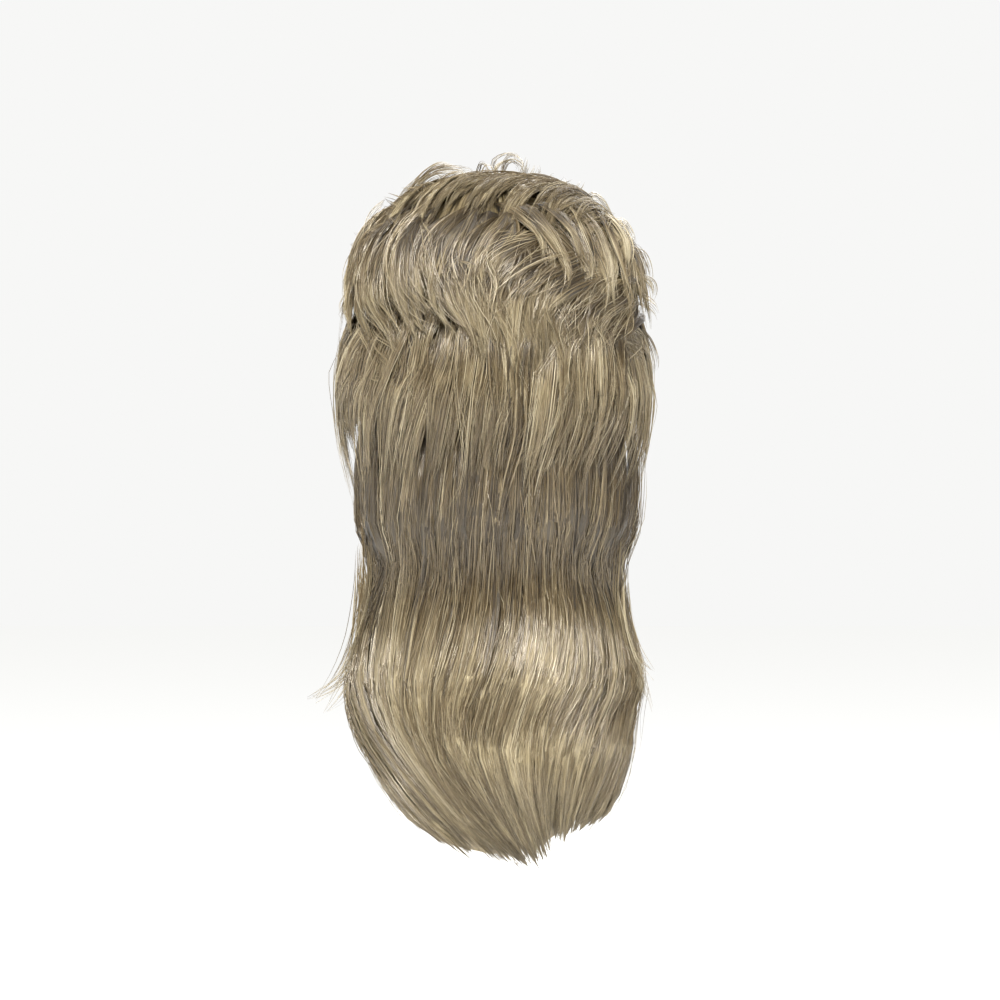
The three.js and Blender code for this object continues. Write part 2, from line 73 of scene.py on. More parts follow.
FIBRE_DIAMETER = 0.38
UNDER_DIAMETER = 0.45
BODY_LENGTH = 0.8  # share of a lock that its solid heart fills, before it thins to loose fibres
BODY_FILL = (0.92, 0.65)  # share of the lock's width and thickness that the heart fills
BODY_SIDES = 6
STREAKS = 190  # across the whole bake map
RIDGE_DEPTH = 1.2
NET_MESHES = (280, 90)  # round the cap and down it
TONE_BANDS = 8  # bands of the bake map, from dark locks to light ones
BAKE_MAP = "OFBake"


# The surface of the head and of the hair


def along_sections(column, t):
    """A measure of the sections as one smooth curve over t, which counts the sections from the ears down."""
    values = np.array(SECTIONS[column], float)
    last = len(values) - 1
    row = np.minimum(np.floor(t).astype(int), last - 1)
    f = t - row
    here, after = values[row], values[row + 1]
    slope_in = np.where(row == 0, 0, (after - values[np.maximum(row - 1, 0)]) / 2)
    slope_out = (values[np.minimum(row + 2, last)] - here) / 2
    start = here * (1 + 2 * f) * (1 - f) ** 2 + slope_in * f * (1 - f) ** 2
    return start + after * f * f * (3 - 2 * f) - slope_out * f * f * (1 - f)


def body_point(azimuth, level, hair):
    """A point on the head and neck (hair 0) or on the outside of the hair (hair 1)."""
    t = np.clip(level - 1, 0, TIP_LEVEL - 1)
    side, back, front = (
        along_sections(name, t) + hair * along_sections(name + "_hair", t) for name in ("side", "back", "front")
    )
    tilt = np.clip(level, 0, 1) * math.pi / 2
    roundness = HAIR_ROUNDNESS if hair else HEAD_ROUNDNESS
    spread = np.sin(tilt) ** roundness
    dome = -CROWN_HEIGHT + (CROWN_HEIGHT + hair * TOP_HAIR) * np.maximum(np.cos(tilt), 0) ** roundness
    hanging = -np.interp(t, range(TIP_LEVEL), SECTIONS["drop"])
    a = np.radians(azimuth)
    depth = np.where(np.cos(a) > 0, back, front)
    z = np.where(level < 1, dome, hanging)
    return np.stack(np.broadcast_arrays(side * spread * np.sin(a), -depth * spread * np.cos(a), z), -1)


def rise_point(azimuth, level, rise):
    """A point a number of millimetres out from the head or neck."""
    azimuth, level, rise = (np.asarray(v, float) for v in (azimuth, level, rise))
    head = body_point(azimuth, level, 0)
    out = body_point(azimuth, level, 1) - head
    return head + out / np.linalg.norm(out, axis=-1, keepdims=True) * rise[..., None]


def hair_point(azimuth, level, lift):
    azimuth, level, lift = np.broadcast_arrays(*(np.asarray(v, float) for v in (azimuth, level, lift)))
    depth = np.linalg.norm(body_point(azimuth, level, 1) - body_point(azimuth, level, 0), axis=-1)
    seat = CAP_WALL + WEFT_GAP
    return rise_point(azimuth, level, seat + lift * (depth - seat))


def place_seen(across, height, lift=0.85):
    """The azimuth and level of places on the back that lie this far across to the right and this high."""
    across, height = np.asarray(across, float), np.asarray(height, float)
    azimuth = np.zeros_like(across)
    for _ in range(6):
        low, high = np.zeros_like(across), np.full_like(across, TIP_LEVEL)
        for _ in range(24):
            middle = (low + high) / 2
            above = hair_point(azimuth, middle, lift)[..., 2] > height
            low, high = np.where(above, middle, low), np.where(above, high, middle)
        reach = hair_point(90, low, lift)[..., 0]
        azimuth = np.degrees(np.arcsin(np.clip(across / reach, -0.99, 0.99)))
    return azimuth, low


def level_of_drop(drop):
    """The level at which the head reaches a drop."""
    dome = np.arccos(np.clip(1 - np.asarray(drop) / CROWN_HEIGHT, -1, 1)) * 2 / math.pi
    return np.where(drop < CROWN_HEIGHT, dome, 1 + np.interp(drop, SECTIONS["drop"], range(TIP_LEVEL)))


def curve_through(stops, count, start=0.0, end=1.0):
    """Rows along the smooth curve through the stops, from one share of its length to another."""
    stops = np.asarray(stops, float)
    padded = np.vstack([2 * stops[0] - stops[1], stops, 2 * stops[-1] - stops[-2]])
    t = np.linspace(start, end, count) * (len(stops) - 1)
    i = np.clip(t.astype(int), 0, len(stops) - 2)
    f = (t - i)[:, None]
    a, b, c, d = (padded[i + k] for k in range(4))
    return (2 * b + (c - a) * f + (2 * a - 5 * b + 4 * c - d) * f * f + (3 * b - a - 3 * c + d) * f**3) / 2


# Nodes and materials


def add_node(tree, kind, settings=None, inputs=None):
    """Adds a node. Each input, by name or number, is given a value or another node's output."""
    made = tree.nodes.new(kind)
    for name, value in (settings or {}).items():
        setattr(made, name, value)
    for key, value in (inputs or {}).items():
        if isinstance(value, bpy.types.NodeSocket):
            tree.links.new(value, made.inputs[key])
        else:
            made.inputs[key].default_value = value
    return made


def linear(colour):
    """A colour given as sRGB hex, in linear light."""
    parts = [int(colour[i : i + 2], 16) / 255 for i in (1, 3, 5)]
    return [p / 12.92 if p <= 0.04045 else ((p + 0.055) / 1.055) ** 2.4 for p in parts] + [1.0]


def surface_material(name, roughness, specular=0.5, sheen=0.0, refraction=1.5, gloss="#ffffff"):
    """A new material with its shader, ready for a colour."""
    material = bpy.data.materials.new(name)
    material.use_nodes = True
    shader = material.node_tree.nodes["Principled BSDF"]
    shader.inputs["Roughness"].default_value = roughness
    shader.inputs["Specular IOR Level"].default_value = specular
    shader.inputs["IOR"].default_value = refraction
    shader.inputs["Sheen Weight"].default_value = sheen
    shader.inputs["Specular Tint"].default_value = linear(gloss)
    return material, material.node_tree, shader


def colour_ramp(tree, amount, stops):
    ramp = add_node(tree, "ShaderNodeValToRGB", inputs={"Fac": amount})
    while len(ramp.color_ramp.elements) < len(stops):
        ramp.color_ramp.elements.new(0.5)
    for element, (position, colour) in zip(ramp.color_ramp.elements, stops):
        element.position = position
        element.color = linear(colour)
    return ramp


WARM_GLOSS = "#fcf3e3"  # light that has passed through the dyed fibre comes back a little warm


def modacrylic_fibre(name, tones, roughness=0.28, specular=1.0):
    """Extruded modacrylic fibre: smooth, so each thread shows a narrow gloss, and dyed in mixed ash blonds.

    Teasing roughens it, which spreads the gloss and dulls it.

    The bake map's first number picks a thread's tone, and its second runs from the root to the tip.
    """
    material, tree, shader = surface_material(name, roughness, specular, refraction=1.6, gloss=WARM_GLOSS)
    place = add_node(tree, "ShaderNodeUVMap", {"uv_map": BAKE_MAP})
    split = add_node(tree, "ShaderNodeSeparateXYZ", inputs={0: place.outputs["UV"]})
    tone = colour_ramp(tree, split.outputs["X"], tones)
    tree.links.new(tone.outputs["Color"], shader.inputs["Base Color"])
    return material


def combed_weft(name, tones, lighter=0.0, mixed=0.0):
    """Fibre lying close in a weft: it shows as fine combed streaks, under a millimetre wide, with a soft gloss.

    lighter is how much paler the ends are than the roots, which paints shade over the roots and light on the ends, and
    mixed how far apart the dyed locks are in tone.
    """
    material, tree, shader = surface_material(name, roughness=0.36, specular=0.9, gloss=WARM_GLOSS)
    place = add_node(tree, "ShaderNodeUVMap", {"uv_map": BAKE_MAP})
    along_fibres = add_node(
        tree, "ShaderNodeMapping", inputs={"Vector": place.outputs["UV"], "Scale": (STREAKS, 2, 1)}
    )
    streaks = add_node(
        tree,
        "ShaderNodeTexNoise",
        {"noise_dimensions": "2D"},
        {"Vector": along_fibres.outputs[0], "Scale": 1.0, "Detail": 5.0, "Roughness": 0.75},
    ).outputs["Fac"]
    split = add_node(tree, "ShaderNodeSeparateXYZ", inputs={0: place.outputs["UV"]})
    # Darker roots, paler ends: painted shade over the roots and painted light towards the ends
    ends = add_node(
        tree,
        "ShaderNodeMapRange",
        {"interpolation_type": "SMOOTHSTEP"},
        {"Value": split.outputs["Y"], "From Min": 0.36, "From Max": 0.52, "To Min": -lighter, "To Max": lighter},
    ).outputs["Result"]
    lock = add_node(
        tree, "ShaderNodeMapRange", inputs={"Value": split.outputs["X"], "To Min": -mixed, "To Max": mixed}
    ).outputs["Result"]
    amount = add_node(tree, "ShaderNodeMath", {"operation": "ADD"}, {0: streaks, 1: ends}).outputs[0]
    amount = add_node(tree, "ShaderNodeMath", {"operation": "ADD"}, {0: amount, 1: lock}).outputs[0]
    # The weft tones run darker than the loose fibres' and near black between streaks: painted shade deep in the hair
    # and in the gaps between fibres, over the streaks' own mixed tone
    tone = colour_ramp(tree, amount, tones)
    ridges = add_node(
        tree, "ShaderNodeBump", inputs={"Height": streaks, "Strength": 0.8, "Distance": RIDGE_DEPTH * MM}
    )
    tree.links.new(tone.outputs["Color"], shader.inputs["Base Color"])
    tree.links.new(ridges.outputs["Normal"], shader.inputs["Normal"])
    return material


def stretch_net(name):
    """Knitted stretch net: a matt fabric of small diamonds, two millimetres apart."""
    material, tree, shader = surface_material(name, roughness=0.85, specular=0.2, sheen=0.2)
    place = add_node(tree, "ShaderNodeUVMap", {"uv_map": BAKE_MAP})
    knit = add_node(
        tree, "ShaderNodeMapping", inputs={"Vector": place.outputs["UV"], "Scale": (*NET_MESHES, 1)}
    )
    diamonds_and_hole_shade = add_node(
        tree,
        "ShaderNodeTexVoronoi",
        {"voronoi_dimensions": "2D"},
        {"Vector": knit.outputs[0], "Scale": 1.0, "Randomness": 0.0},
    )
    # Dark in the middle of each diamond and pale on the threads: the dark holes are painted shade seen through the net
    tone = colour_ramp(
        tree, diamonds_and_hole_shade.outputs["Distance"], [(0.15, "#2b241a"), (0.45, "#6b5b43"), (0.7, "#87765a")]
    )
    tree.links.new(tone.outputs["Color"], shader.inputs["Base Color"])
    return material


FIBRE_TONES = [
    (0.0, "#2a1f0f"),
    (0.25, "#4a3b20"),
    (0.5, "#695b42"),
    (0.75, "#887b5e"),
    (1.0, "#aa9f85"),
]
# Darker than FIBRE_TONES and near black at the low end: painted shade deep in the hair and between fibres, on top of
# the weft's own streaky tone
WEFT_TONES = [(0.39, "#1d1409"), (0.5, "#524529"), (0.63, "#8d8062"), (0.78, "#a59a7d")]
fibre_finish = modacrylic_fibre("Modacrylic fibre, ash blond", FIBRE_TONES)
teased_finish = modacrylic_fibre("Modacrylic fibre, teased", FIBRE_TONES, roughness=0.42, specular=0.55)
weft_finish = combed_weft("Modacrylic weft, teased", WEFT_TONES)
# The locks and the tail's weft are darker at the roots and paler at the ends: painted shade and painted light
lock_finish = combed_weft("Modacrylic locks, combed", WEFT_TONES, lighter=0.09, mixed=0.07)
tail_weft_finish = combed_weft("Modacrylic weft, long", WEFT_TONES, lighter=0.09)
net_finish = stretch_net("Stretch net, knitted")


# Fibres: a tree that lays many fibres along each guide


def fibre_tree():
    """Lays fibres along guide lines, gathers them into strands, frays and trims them, and gives them their thickness.

    A guide's points carry the vectors to the lock's edge (lock_side) and to its top (lock_top), the share of the
    way from its root (lock_along), its tone, its number of fibres and a phase that shifts its strands.
    """
    tree = bpy.data.node_groups.new("Fibres along guides", "GeometryNodeTree")
    inputs = (
        ("Guides", "NodeSocketGeometry"),
        ("Fibre diameter", "NodeSocketFloat"),
        ("Frizz", "NodeSocketFloat"),
        ("Frizz size", "NodeSocketFloat"),
        ("Strands in a lock", "NodeSocketFloat"),
        ("Gathering", "NodeSocketFloat"),
        ("Raggedness", "NodeSocketFloat"),
        ("Tone spread", "NodeSocketFloat"),
        ("Painted root shade and tip light", "NodeSocketFloat"),
        ("Thickness at the tip", "NodeSocketFloat"),
        ("Points on a fibre", "NodeSocketInt"),
        ("Seed", "NodeSocketInt"),
        ("Fibre material", "NodeSocketMaterial"),
    )
    for name, kind in inputs:
        tree.interface.new_socket(name, in_out="INPUT", socket_type=kind)
    tree.interface.new_socket("Fibres", in_out="OUTPUT", socket_type="NodeSocketGeometry")
    given = add_node(tree, "NodeGroupInput").outputs
    result = add_node(tree, "NodeGroupOutput")

    def maths(operation, *values):
        return add_node(tree, "ShaderNodeMath", {"operation": operation}, dict(enumerate(values))).outputs[0]

    def vectors(operation, first, second):
        key = "Scale" if operation == "SCALE" else 1
        return add_node(tree, "ShaderNodeVectorMath", {"operation": operation}, {0: first, key: second}).outputs[0]

    def stored(name, kind="FLOAT"):
        return add_node(tree, "GeometryNodeInputNamedAttribute", {"data_type": kind}, {"Name": name}).outputs[0]

    def chance(low, high, stream):
        seed = maths("ADD", given["Seed"], float(stream))
        return add_node(
            tree, "FunctionNodeRandomValue", {"data_type": "FLOAT"}, {2: low, 3: high, "Seed": seed}
        ).outputs[1]

    def store(geometry, name, value, kind="FLOAT", domain="CURVE"):
        return add_node(
            tree,
            "GeometryNodeStoreNamedAttribute",
            {"data_type": kind, "domain": domain},
            {"Geometry": geometry, "Name": name, "Value": value},
        ).outputs[0]

    lines = add_node(tree, "GeometryNodeMeshToCurve", inputs={0: given["Guides"]}).outputs[0]
    lines = add_node(
        tree, "GeometryNodeDuplicateElements", {"domain": "SPLINE"}, {0: lines, "Amount": stored("lock_fibres", "INT")}
    ).outputs[0]
    for name, low, high, stream in (
        ("sway", -1.0, 1.0, 0),
        ("depth", 0.0, 1.0, 1),
        ("shade", 0.0, 1.0, 2),
        ("cut", 0.0, 1.0, 3),
        ("start", 0.0, 1.0, 4),
        ("stray", 0.0, 1.0, 5),
    ):
        lines = store(lines, name, chance(low, high, stream))

    # Across the lock, each fibre is drawn towards the middle of its strand, more so near the tip
    along = stored("lock_along")
    strands = maths("MULTIPLY", given["Strands in a lock"], 0.5)
    shifted = maths("MULTIPLY_ADD", stored("sway"), strands, stored("lock_phase"))
    centre = maths("SUBTRACT", maths("ADD", maths("FLOOR", shifted), 0.5), stored("lock_phase"))
    centre = maths("DIVIDE", centre, strands)
    pull = maths("MULTIPLY", given["Gathering"], maths("POWER", along, 0.6))
    sway = maths("MULTIPLY_ADD", maths("SUBTRACT", centre, stored("sway")), pull, stored("sway"))
    bulge = maths("SQRT", maths("MAXIMUM", maths("SUBTRACT", 1.0, maths("MULTIPLY", sway, sway)), 0.02))
    depth = maths("MULTIPLY", bulge, maths("MULTIPLY_ADD", stored("depth"), 0.5, 0.6))
    offset = vectors(
        "ADD",
        vectors("SCALE", stored("lock_side", "FLOAT_VECTOR"), sway),
        vectors("SCALE", stored("lock_top", "FLOAT_VECTOR"), depth),
    )

    # Frizz: each fibre wanders on its own, and a few wander far
    position = add_node(tree, "GeometryNodeInputPosition").outputs[0]
    own = add_node(
        tree,
        "ShaderNodeCombineXYZ",
        inputs={
            0: maths("MULTIPLY", stored("sway"), 37.0),
            1: maths("MULTIPLY", stored("shade"), 53.0),
            2: maths("MULTIPLY", stored("cut"), 71.0),
        },
    ).outputs[0]
    place = vectors("ADD", vectors("SCALE", position, maths("DIVIDE", 1.0, given["Frizz size"])), own)
    noise = add_node(tree, "ShaderNodeTexNoise", inputs={"Vector": place, "Scale": 1.0, "Detail": 1.0}).outputs[
        "Color"
    ]
    wild = maths("MULTIPLY_ADD", maths("POWER", stored("stray"), 14.0), 4.0, 0.6)
    amount = maths("MULTIPLY", maths("MULTIPLY", given["Frizz"], wild), maths("ADD", along, 0.35))
    offset = vectors("ADD", offset, vectors("SCALE", vectors("SUBTRACT", noise, (0.5, 0.5, 0.5)), amount))
    lines = add_node(tree, "GeometryNodeSetPosition", inputs={"Geometry": lines, "Offset": offset}).outputs[0]

    # Fibres start and end at different places, so that a lock thins out to its tip
    first = maths("MULTIPLY", stored("start"), maths("MULTIPLY", given["Raggedness"], 0.4))
    last = maths("SUBTRACT", 1.0, maths("MULTIPLY", maths("POWER", stored("cut"), 1.5), given["Raggedness"]))
    lines = add_node(tree, "GeometryNodeTrimCurve", {"mode": "FACTOR"}, {0: lines, 2: first, 3: last}).outputs[0]
    lines = add_node(
        tree, "GeometryNodeResampleCurve", {"mode": "COUNT"}, {"Curve": lines, "Count": given["Points on a fibre"]}
    ).outputs[0]

    part_way = add_node(tree, "GeometryNodeSplineParameter").outputs["Factor"]
    thickness = add_node(
        tree,
        "ShaderNodeMapRange",
        {"interpolation_type": "SMOOTHSTEP"},
        {
            "Value": part_way,
            "From Min": 1.0,
            "From Max": 0.55,
            "To Min": given["Thickness at the tip"],
            "To Max": 1.0,
        },
    ).outputs[0]
    rooted = add_node(
        tree,
        "ShaderNodeMapRange",
        {"interpolation_type": "SMOOTHSTEP"},
        {"Value": part_way, "From Min": 0.0, "From Max": 0.14, "To Min": 0.2, "To Max": 1.0},
    ).outputs[0]
    thickness = maths("MULTIPLY", thickness, rooted)
    ring = add_node(
        tree,
        "GeometryNodeCurvePrimitiveCircle",
        {"mode": "RADIUS"},
        {"Resolution": 3, "Radius": maths("MULTIPLY", given["Fibre diameter"], 0.58)},
    ).outputs[0]
    index = add_node(tree, "GeometryNodeInputIndex").outputs[0]
    ring = store(ring, "around", index, domain="POINT")
    fibres = add_node(
        tree,
        "GeometryNodeCurveToMesh",
        inputs={"Curve": lines, "Profile Curve": ring, "Scale": thickness, "Fill Caps": True},
    ).outputs[0]

    # A strand has its own tone, and its fibres differ a little from it
    strand = add_node(
        tree,
        "ShaderNodeCombineXYZ",
        inputs={
            0: maths("FLOOR", maths("MULTIPLY_ADD", stored("sway"), strands, stored("lock_phase"))),
            1: maths("MULTIPLY", stored("lock_phase"), 97.0),
        },
    ).outputs[0]
    dye = add_node(tree, "ShaderNodeTexWhiteNoise", {"noise_dimensions": "2D"}, {"Vector": strand}).outputs["Value"]
    dye = maths("MULTIPLY_ADD", stored("shade"), 0.5, maths("SUBTRACT", dye, 0.75))
    tone = maths("MULTIPLY_ADD", dye, given["Tone spread"], stored("lock_tone"))
    # Darker towards the root and paler towards the tip: painted shade over the roots and painted light on the ends
    lighter = add_node(
        tree,
        "ShaderNodeMapRange",
        {"interpolation_type": "SMOOTHSTEP"},
        {"Value": along, "From Min": 0.36, "From Max": 0.52, "To Min": -0.5, "To Max": 0.5},
    ).outputs[0]
    tone = maths("MULTIPLY_ADD", lighter, given["Painted root shade and tip light"], tone)
    tone = maths("MINIMUM", maths("MAXIMUM", tone, 0.01), 0.98)
    tone = maths("MULTIPLY_ADD", stored("around"), 0.002, tone)
    mapped = add_node(tree, "ShaderNodeCombineXYZ", inputs={0: tone, 1: stored("lock_along")}).outputs[0]
    fibres = store(fibres, BAKE_MAP, mapped, kind="FLOAT2", domain="CORNER")
    fibres = add_node(tree, "GeometryNodeSetShadeSmooth", inputs={0: fibres}).outputs[0]
    fibres = add_node(tree, "GeometryNodeRealizeInstances", inputs={0: fibres}).outputs[0]
    fibres = add_node(
        tree, "GeometryNodeSetMaterial", inputs={0: fibres, "Material": given["Fibre material"]}
    ).outputs[0]
    tree.links.new(fibres, result.inputs[0])
    return tree


FIBRES = fibre_tree()
FIBRE_INPUTS = {item.name: item.identifier for item in FIBRES.interface.items_tree if item.in_out == "INPUT"}


# Locks


def lock_share(along, taper):
    """How wide a lock is along its length: full from a third of the way, then narrower to its end by taper."""
    root = np.clip((along + 0.12) / 0.42, 0, 1)
    root = root * root * (3 - 2 * root)
    return root * (1 - np.clip((along - 0.4) / 0.6, 0, 1) ** 1.8 * taper)


def lock_along(middle, up, half_width, half_thickness, tone, fibres, roll=0.0, phase=0.0, taper=0.93):
    """A lock round a row of points: where its middle, its edge and its top are at each."""
    forward = np.gradient(middle, axis=0)
    side = np.cross(forward, up)
    side /= np.linalg.norm(side, axis=1, keepdims=True)
    top = np.cross(side, forward)
    top /= np.linalg.norm(top, axis=1, keepdims=True)
    side, top = side * math.cos(roll) + top * math.sin(roll), top * math.cos(roll) - side * math.sin(roll)
    along = np.linspace(0, 1, len(middle))
    share = lock_share(along, taper)[:, None]
    return {
        "middle": middle,
        "side": side * share * half_width,
        "top": top * share * half_thickness,
        "along": along,
        "tone": tone,
        "fibres": fibres,
        "phase": phase,
    }


def lock_in_hair(stops, steps=12, start=0.0, end=1.0, **looks):
    """A lock that follows stops of azimuth, level and lift."""
    rows = curve_through(stops, steps, start, end)
    middle = hair_point(*rows.T)
    up = hair_point(rows[:, 0], rows[:, 1], rows[:, 2] + 0.1) - middle
    return lock_along(middle, up, **looks)


def locks_between(routes, lift, count, rng, width, thickness, per_mm, tone=0.5, tone_jitter=0.12, wander=2.0,
                  root=(0.0, 0.15), tip=(0.8, 1.0), steps=12, lift_jitter=0.06, level_jitter=0.012, taper=0.93):
    """Locks spread evenly over a row of routes, each between its two neighbours."""
    routes = np.asarray(routes, float)
    locks = []
    for k in range(count):
        at = np.clip((k + rng.uniform(0.1, 0.9)) / count, 0, 0.9999) * (len(routes) - 1)
        i = int(at)
        route = routes[i] * (1 - (at - i)) + routes[i + 1] * (at - i)
        if route.shape[1] == 2:
            route = np.column_stack([route, np.zeros(len(route))])
        stops = route.copy()
        stops[:, 2] += lift
        stops[:, 0] += rng.normal(0, wander) + rng.normal(0, wander * 0.5, len(stops))
        stops[:, 1] += rng.normal(0, level_jitter) * (1 + stops[:, 1])
        stops[:, 2] += rng.normal(0, lift_jitter)
        half_width = width * rng.uniform(0.6, 1.35) / 2
        locks.append(
            lock_in_hair(
                stops,
                steps,
                rng.uniform(*root),
                rng.uniform(*tip),
                half_width=half_width,
                half_thickness=thickness * rng.uniform(0.7, 1.2) / 2,
                tone=tone + rng.normal(0, tone_jitter),
                fibres=max(3, round(2 * half_width * per_mm)),
                roll=rng.normal(0, 0.25),
                phase=rng.uniform(0, 1),
                taper=taper,
            )
        )
    return locks


def finish_piece(piece, slot, *nodes):
    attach(piece, "root")
    if nodes:
        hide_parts(*nodes)
    return piece


def plain_object(name, mesh):
    made = bpy.data.objects.new(name, mesh)
    bpy.context.scene.collection.objects.link(made)
    return made


def mesh_of(name, points, faces, places, material):
    """A closed mesh from points in millimetres, with the bake map's place of each point."""
    mesh = bpy.data.meshes.new(name)
    mesh.from_pydata((np.asarray(points) * MM).tolist(), [], faces)
    layer = mesh.uv_layers.new(name=BAKE_MAP)
    corner = np.empty(len(mesh.loops), np.int32)
    mesh.loops.foreach_get("vertex_index", corner)
    layer.data.foreach_set("uv", np.asarray(places, np.float32)[corner].ravel())
    joined = bmesh.new()
    joined.from_mesh(mesh)
    bmesh.ops.remove_doubles(joined, verts=joined.verts, dist=1e-6)
    bmesh.ops.recalc_face_normals(joined, faces=joined.faces)
    joined.to_mesh(mesh)
    joined.free()
    mesh.shade_smooth()
    mesh.materials.append(material)
    return mesh


def lock_bodies(name, locks, slot, nodes=(), length=BODY_LENGTH):
    """The solid hearts of the locks: flat, pointed bodies under their fibres, dark locks first on the bake map."""
    points, faces, places = [], [], []
    turn = np.linspace(0, 2 * math.pi, BODY_SIDES, endpoint=False)
    for lock in locks:
        count = max(3, round(len(lock["middle"]) * length))
        shares = np.sqrt(np.clip(1 - (np.arange(count) / count) ** 4, 0, 1))
        rings = [
            middle + (np.outer(np.cos(turn), side) * BODY_FILL[0] + np.outer(np.sin(turn), top) * BODY_FILL[1]) * share
            for middle, side, top, share in zip(lock["middle"], lock["side"], lock["top"], shares)
        ]
        band = int(np.clip((lock["tone"] - 0.3) / 0.4, 0, 0.999) * TONE_BANDS) / TONE_BANDS
        base = len(points)
        points.append(lock["middle"][0])
        places.append((0.5 / TONE_BANDS, 0))
        for ring, along in zip(rings, lock["along"]):
            points.extend(ring)
            places.extend((band + (0.5 - 0.5 * math.cos(a)) / TONE_BANDS, along) for a in turn)
        points.append(lock["middle"][min(count, len(lock["middle"]) - 1)])
        places.append((band + 0.5 / TONE_BANDS, 1))
        tip = len(points) - 1
        for s in range(BODY_SIDES):
            faces.append((base, base + 1 + (s + 1) % BODY_SIDES, base + 1 + s))
            last = base + 1 + (len(rings) - 1) * BODY_SIDES
            faces.append((tip, last + s, last + (s + 1) % BODY_SIDES))
        for r in range(len(rings) - 1):
            low = base + 1 + r * BODY_SIDES
            for s in range(BODY_SIDES):
                n = (s + 1) % BODY_SIDES
                faces.append((low + s, low + n, low + BODY_SIDES + n, low + BODY_SIDES + s))
    mesh = mesh_of(name, points, faces, places, lock_finish)
    return finish_piece(plain_object(name, mesh), slot, *nodes)


def lock_fibres(name, locks, slot, nodes=(), frizz=2.0, frizz_size=26, strands=18, gathering=0.6, ragged=0.35,
                spread=0.62, points=11, seed=1, diameter=FIBRE_DIAMETER, lighter=0.0, tip_thickness=0.25,
                finish=fibre_finish):
    """The fibres of the locks, as one mesh."""
    guides = bpy.data.meshes.new(name + "_guides")
    sizes = [len(lock["middle"]) for lock in locks]
    ends = np.cumsum(sizes)
    edges = [(i, i + 1) for i in range(ends[-1] - 1) if i + 1 not in set(ends.tolist())]
    guides.from_pydata((np.concatenate([lock["middle"] for lock in locks]) * MM).tolist(), edges, [])
    for key in ("side", "top"):
        attribute = guides.attributes.new("lock_" + key, "FLOAT_VECTOR", "POINT")
        attribute.data.foreach_set("vector", (np.concatenate([lock[key] for lock in locks]) * MM).ravel())
    for key in ("along", "tone", "phase"):
        attribute = guides.attributes.new("lock_" + key, "FLOAT", "POINT")
        values = [np.broadcast_to(lock[key], size) for lock, size in zip(locks, sizes)]
        attribute.data.foreach_set("value", np.concatenate(values))
    attribute = guides.attributes.new("lock_fibres", "INT", "POINT")
    attribute.data.foreach_set("value", np.repeat([lock["fibres"] for lock in locks], sizes))

    source = plain_object(name + "_guides", guides)
    modifier = source.modifiers.new("Fibres", "NODES")
    modifier.node_group = FIBRES
    for key, value in {
        "Fibre diameter": diameter * MM,
        "Frizz": frizz * MM,
        "Frizz size": frizz_size * MM,
        "Strands in a lock": float(strands),
        "Gathering": gathering,
        "Raggedness": ragged,
        "Tone spread": spread,
        # darker roots and paler tips: painted shade and painted light
        "Painted root shade and tip light": lighter,
        "Thickness at the tip": tip_thickness,
        "Points on a fibre": points,
        "Seed": seed,
        "Fibre material": finish,
    }.items():
        modifier[FIBRE_INPUTS[key]] = value
    graph = bpy.context.evaluated_depsgraph_get()
    mesh = bpy.data.meshes.new_from_object(source.evaluated_get(graph))
    mesh.name = name
    source.modifiers.remove(modifier)
    bpy.data.objects.remove(source)
    bpy.data.meshes.remove(guides)
    for attribute in [a.name for a in mesh.attributes if not a.is_internal and not a.is_required]:
        if attribute not in (BAKE_MAP, "material_index", "sharp_face"):
            mesh.attributes.remove(mesh.attributes[attribute])
    return finish_piece(plain_object(name, mesh), slot, *nodes)


def hair_shell(name, slot, azimuths, top, bottom, inner, outer, rows, material, nodes=(), closed=False):
    """A closed shell of hair or cap between two levels at each azimuth. inner and outer place its two faces."""
    azimuths = np.asarray(azimuths, float)
    share = np.linspace(0, 1, rows)
    tops = np.broadcast_to(top(np.abs(azimuths)), azimuths.shape)
    bottoms = np.broadcast_to(bottom(np.abs(azimuths)), azimuths.shape)
    levels = tops[:, None] + (bottoms - tops)[:, None] * share
    turned = np.repeat(azimuths[:, None], rows, axis=1)
    faces_out, faces_in = outer(turned, levels), inner(turned, levels)
    loops = np.concatenate([faces_out, faces_in[:, ::-1]], axis=1)
    columns, around = loops.shape[:2]
    across = np.linspace(0, 1, columns)
    down = np.concatenate([share, share[::-1]])
    places = np.stack(np.broadcast_arrays(across[:, None], down[None, :]), -1).reshape(-1, 2)
    faces = []
    pairs = [(c, (c + 1) % columns) for c in range(columns if closed else columns - 1)]
    for c, n in pairs:
        for r in range(around):
            q = (r + 1) % around
            faces.append((c * around + r, c * around + q, n * around + q, n * around + r))
    if not closed:
        for c in (0, columns - 1):
            for r in range(rows - 1):
                low, high = c * around + r, c * around + around - 1 - r
                faces.append((low, low + 1, high - 1, high))
    mesh = mesh_of(name, loops.reshape(-1, 3), faces, places, material)
    return finish_piece(plain_object(name, mesh), slot, *nodes)


# The cap and the teased body of each layer

around_head = np.linspace(-180, 180, 73)[:-1]
hair_shell(
    "net_cap",
    "cap_net",
    around_head,
    top=lambda a: 0 * a,
    bottom=lambda a: level_of_drop(np.interp(a, list(CAP_EDGE), list(CAP_EDGE.values()))),
    inner=lambda a, l: rise_point(a, l, 0 * a),
    outer=lambda a, l: rise_point(a, l, 0 * a + CAP_WALL),
    rows=22,
    material=net_finish,
    nodes=("wig_cap",),
    closed=True,
)


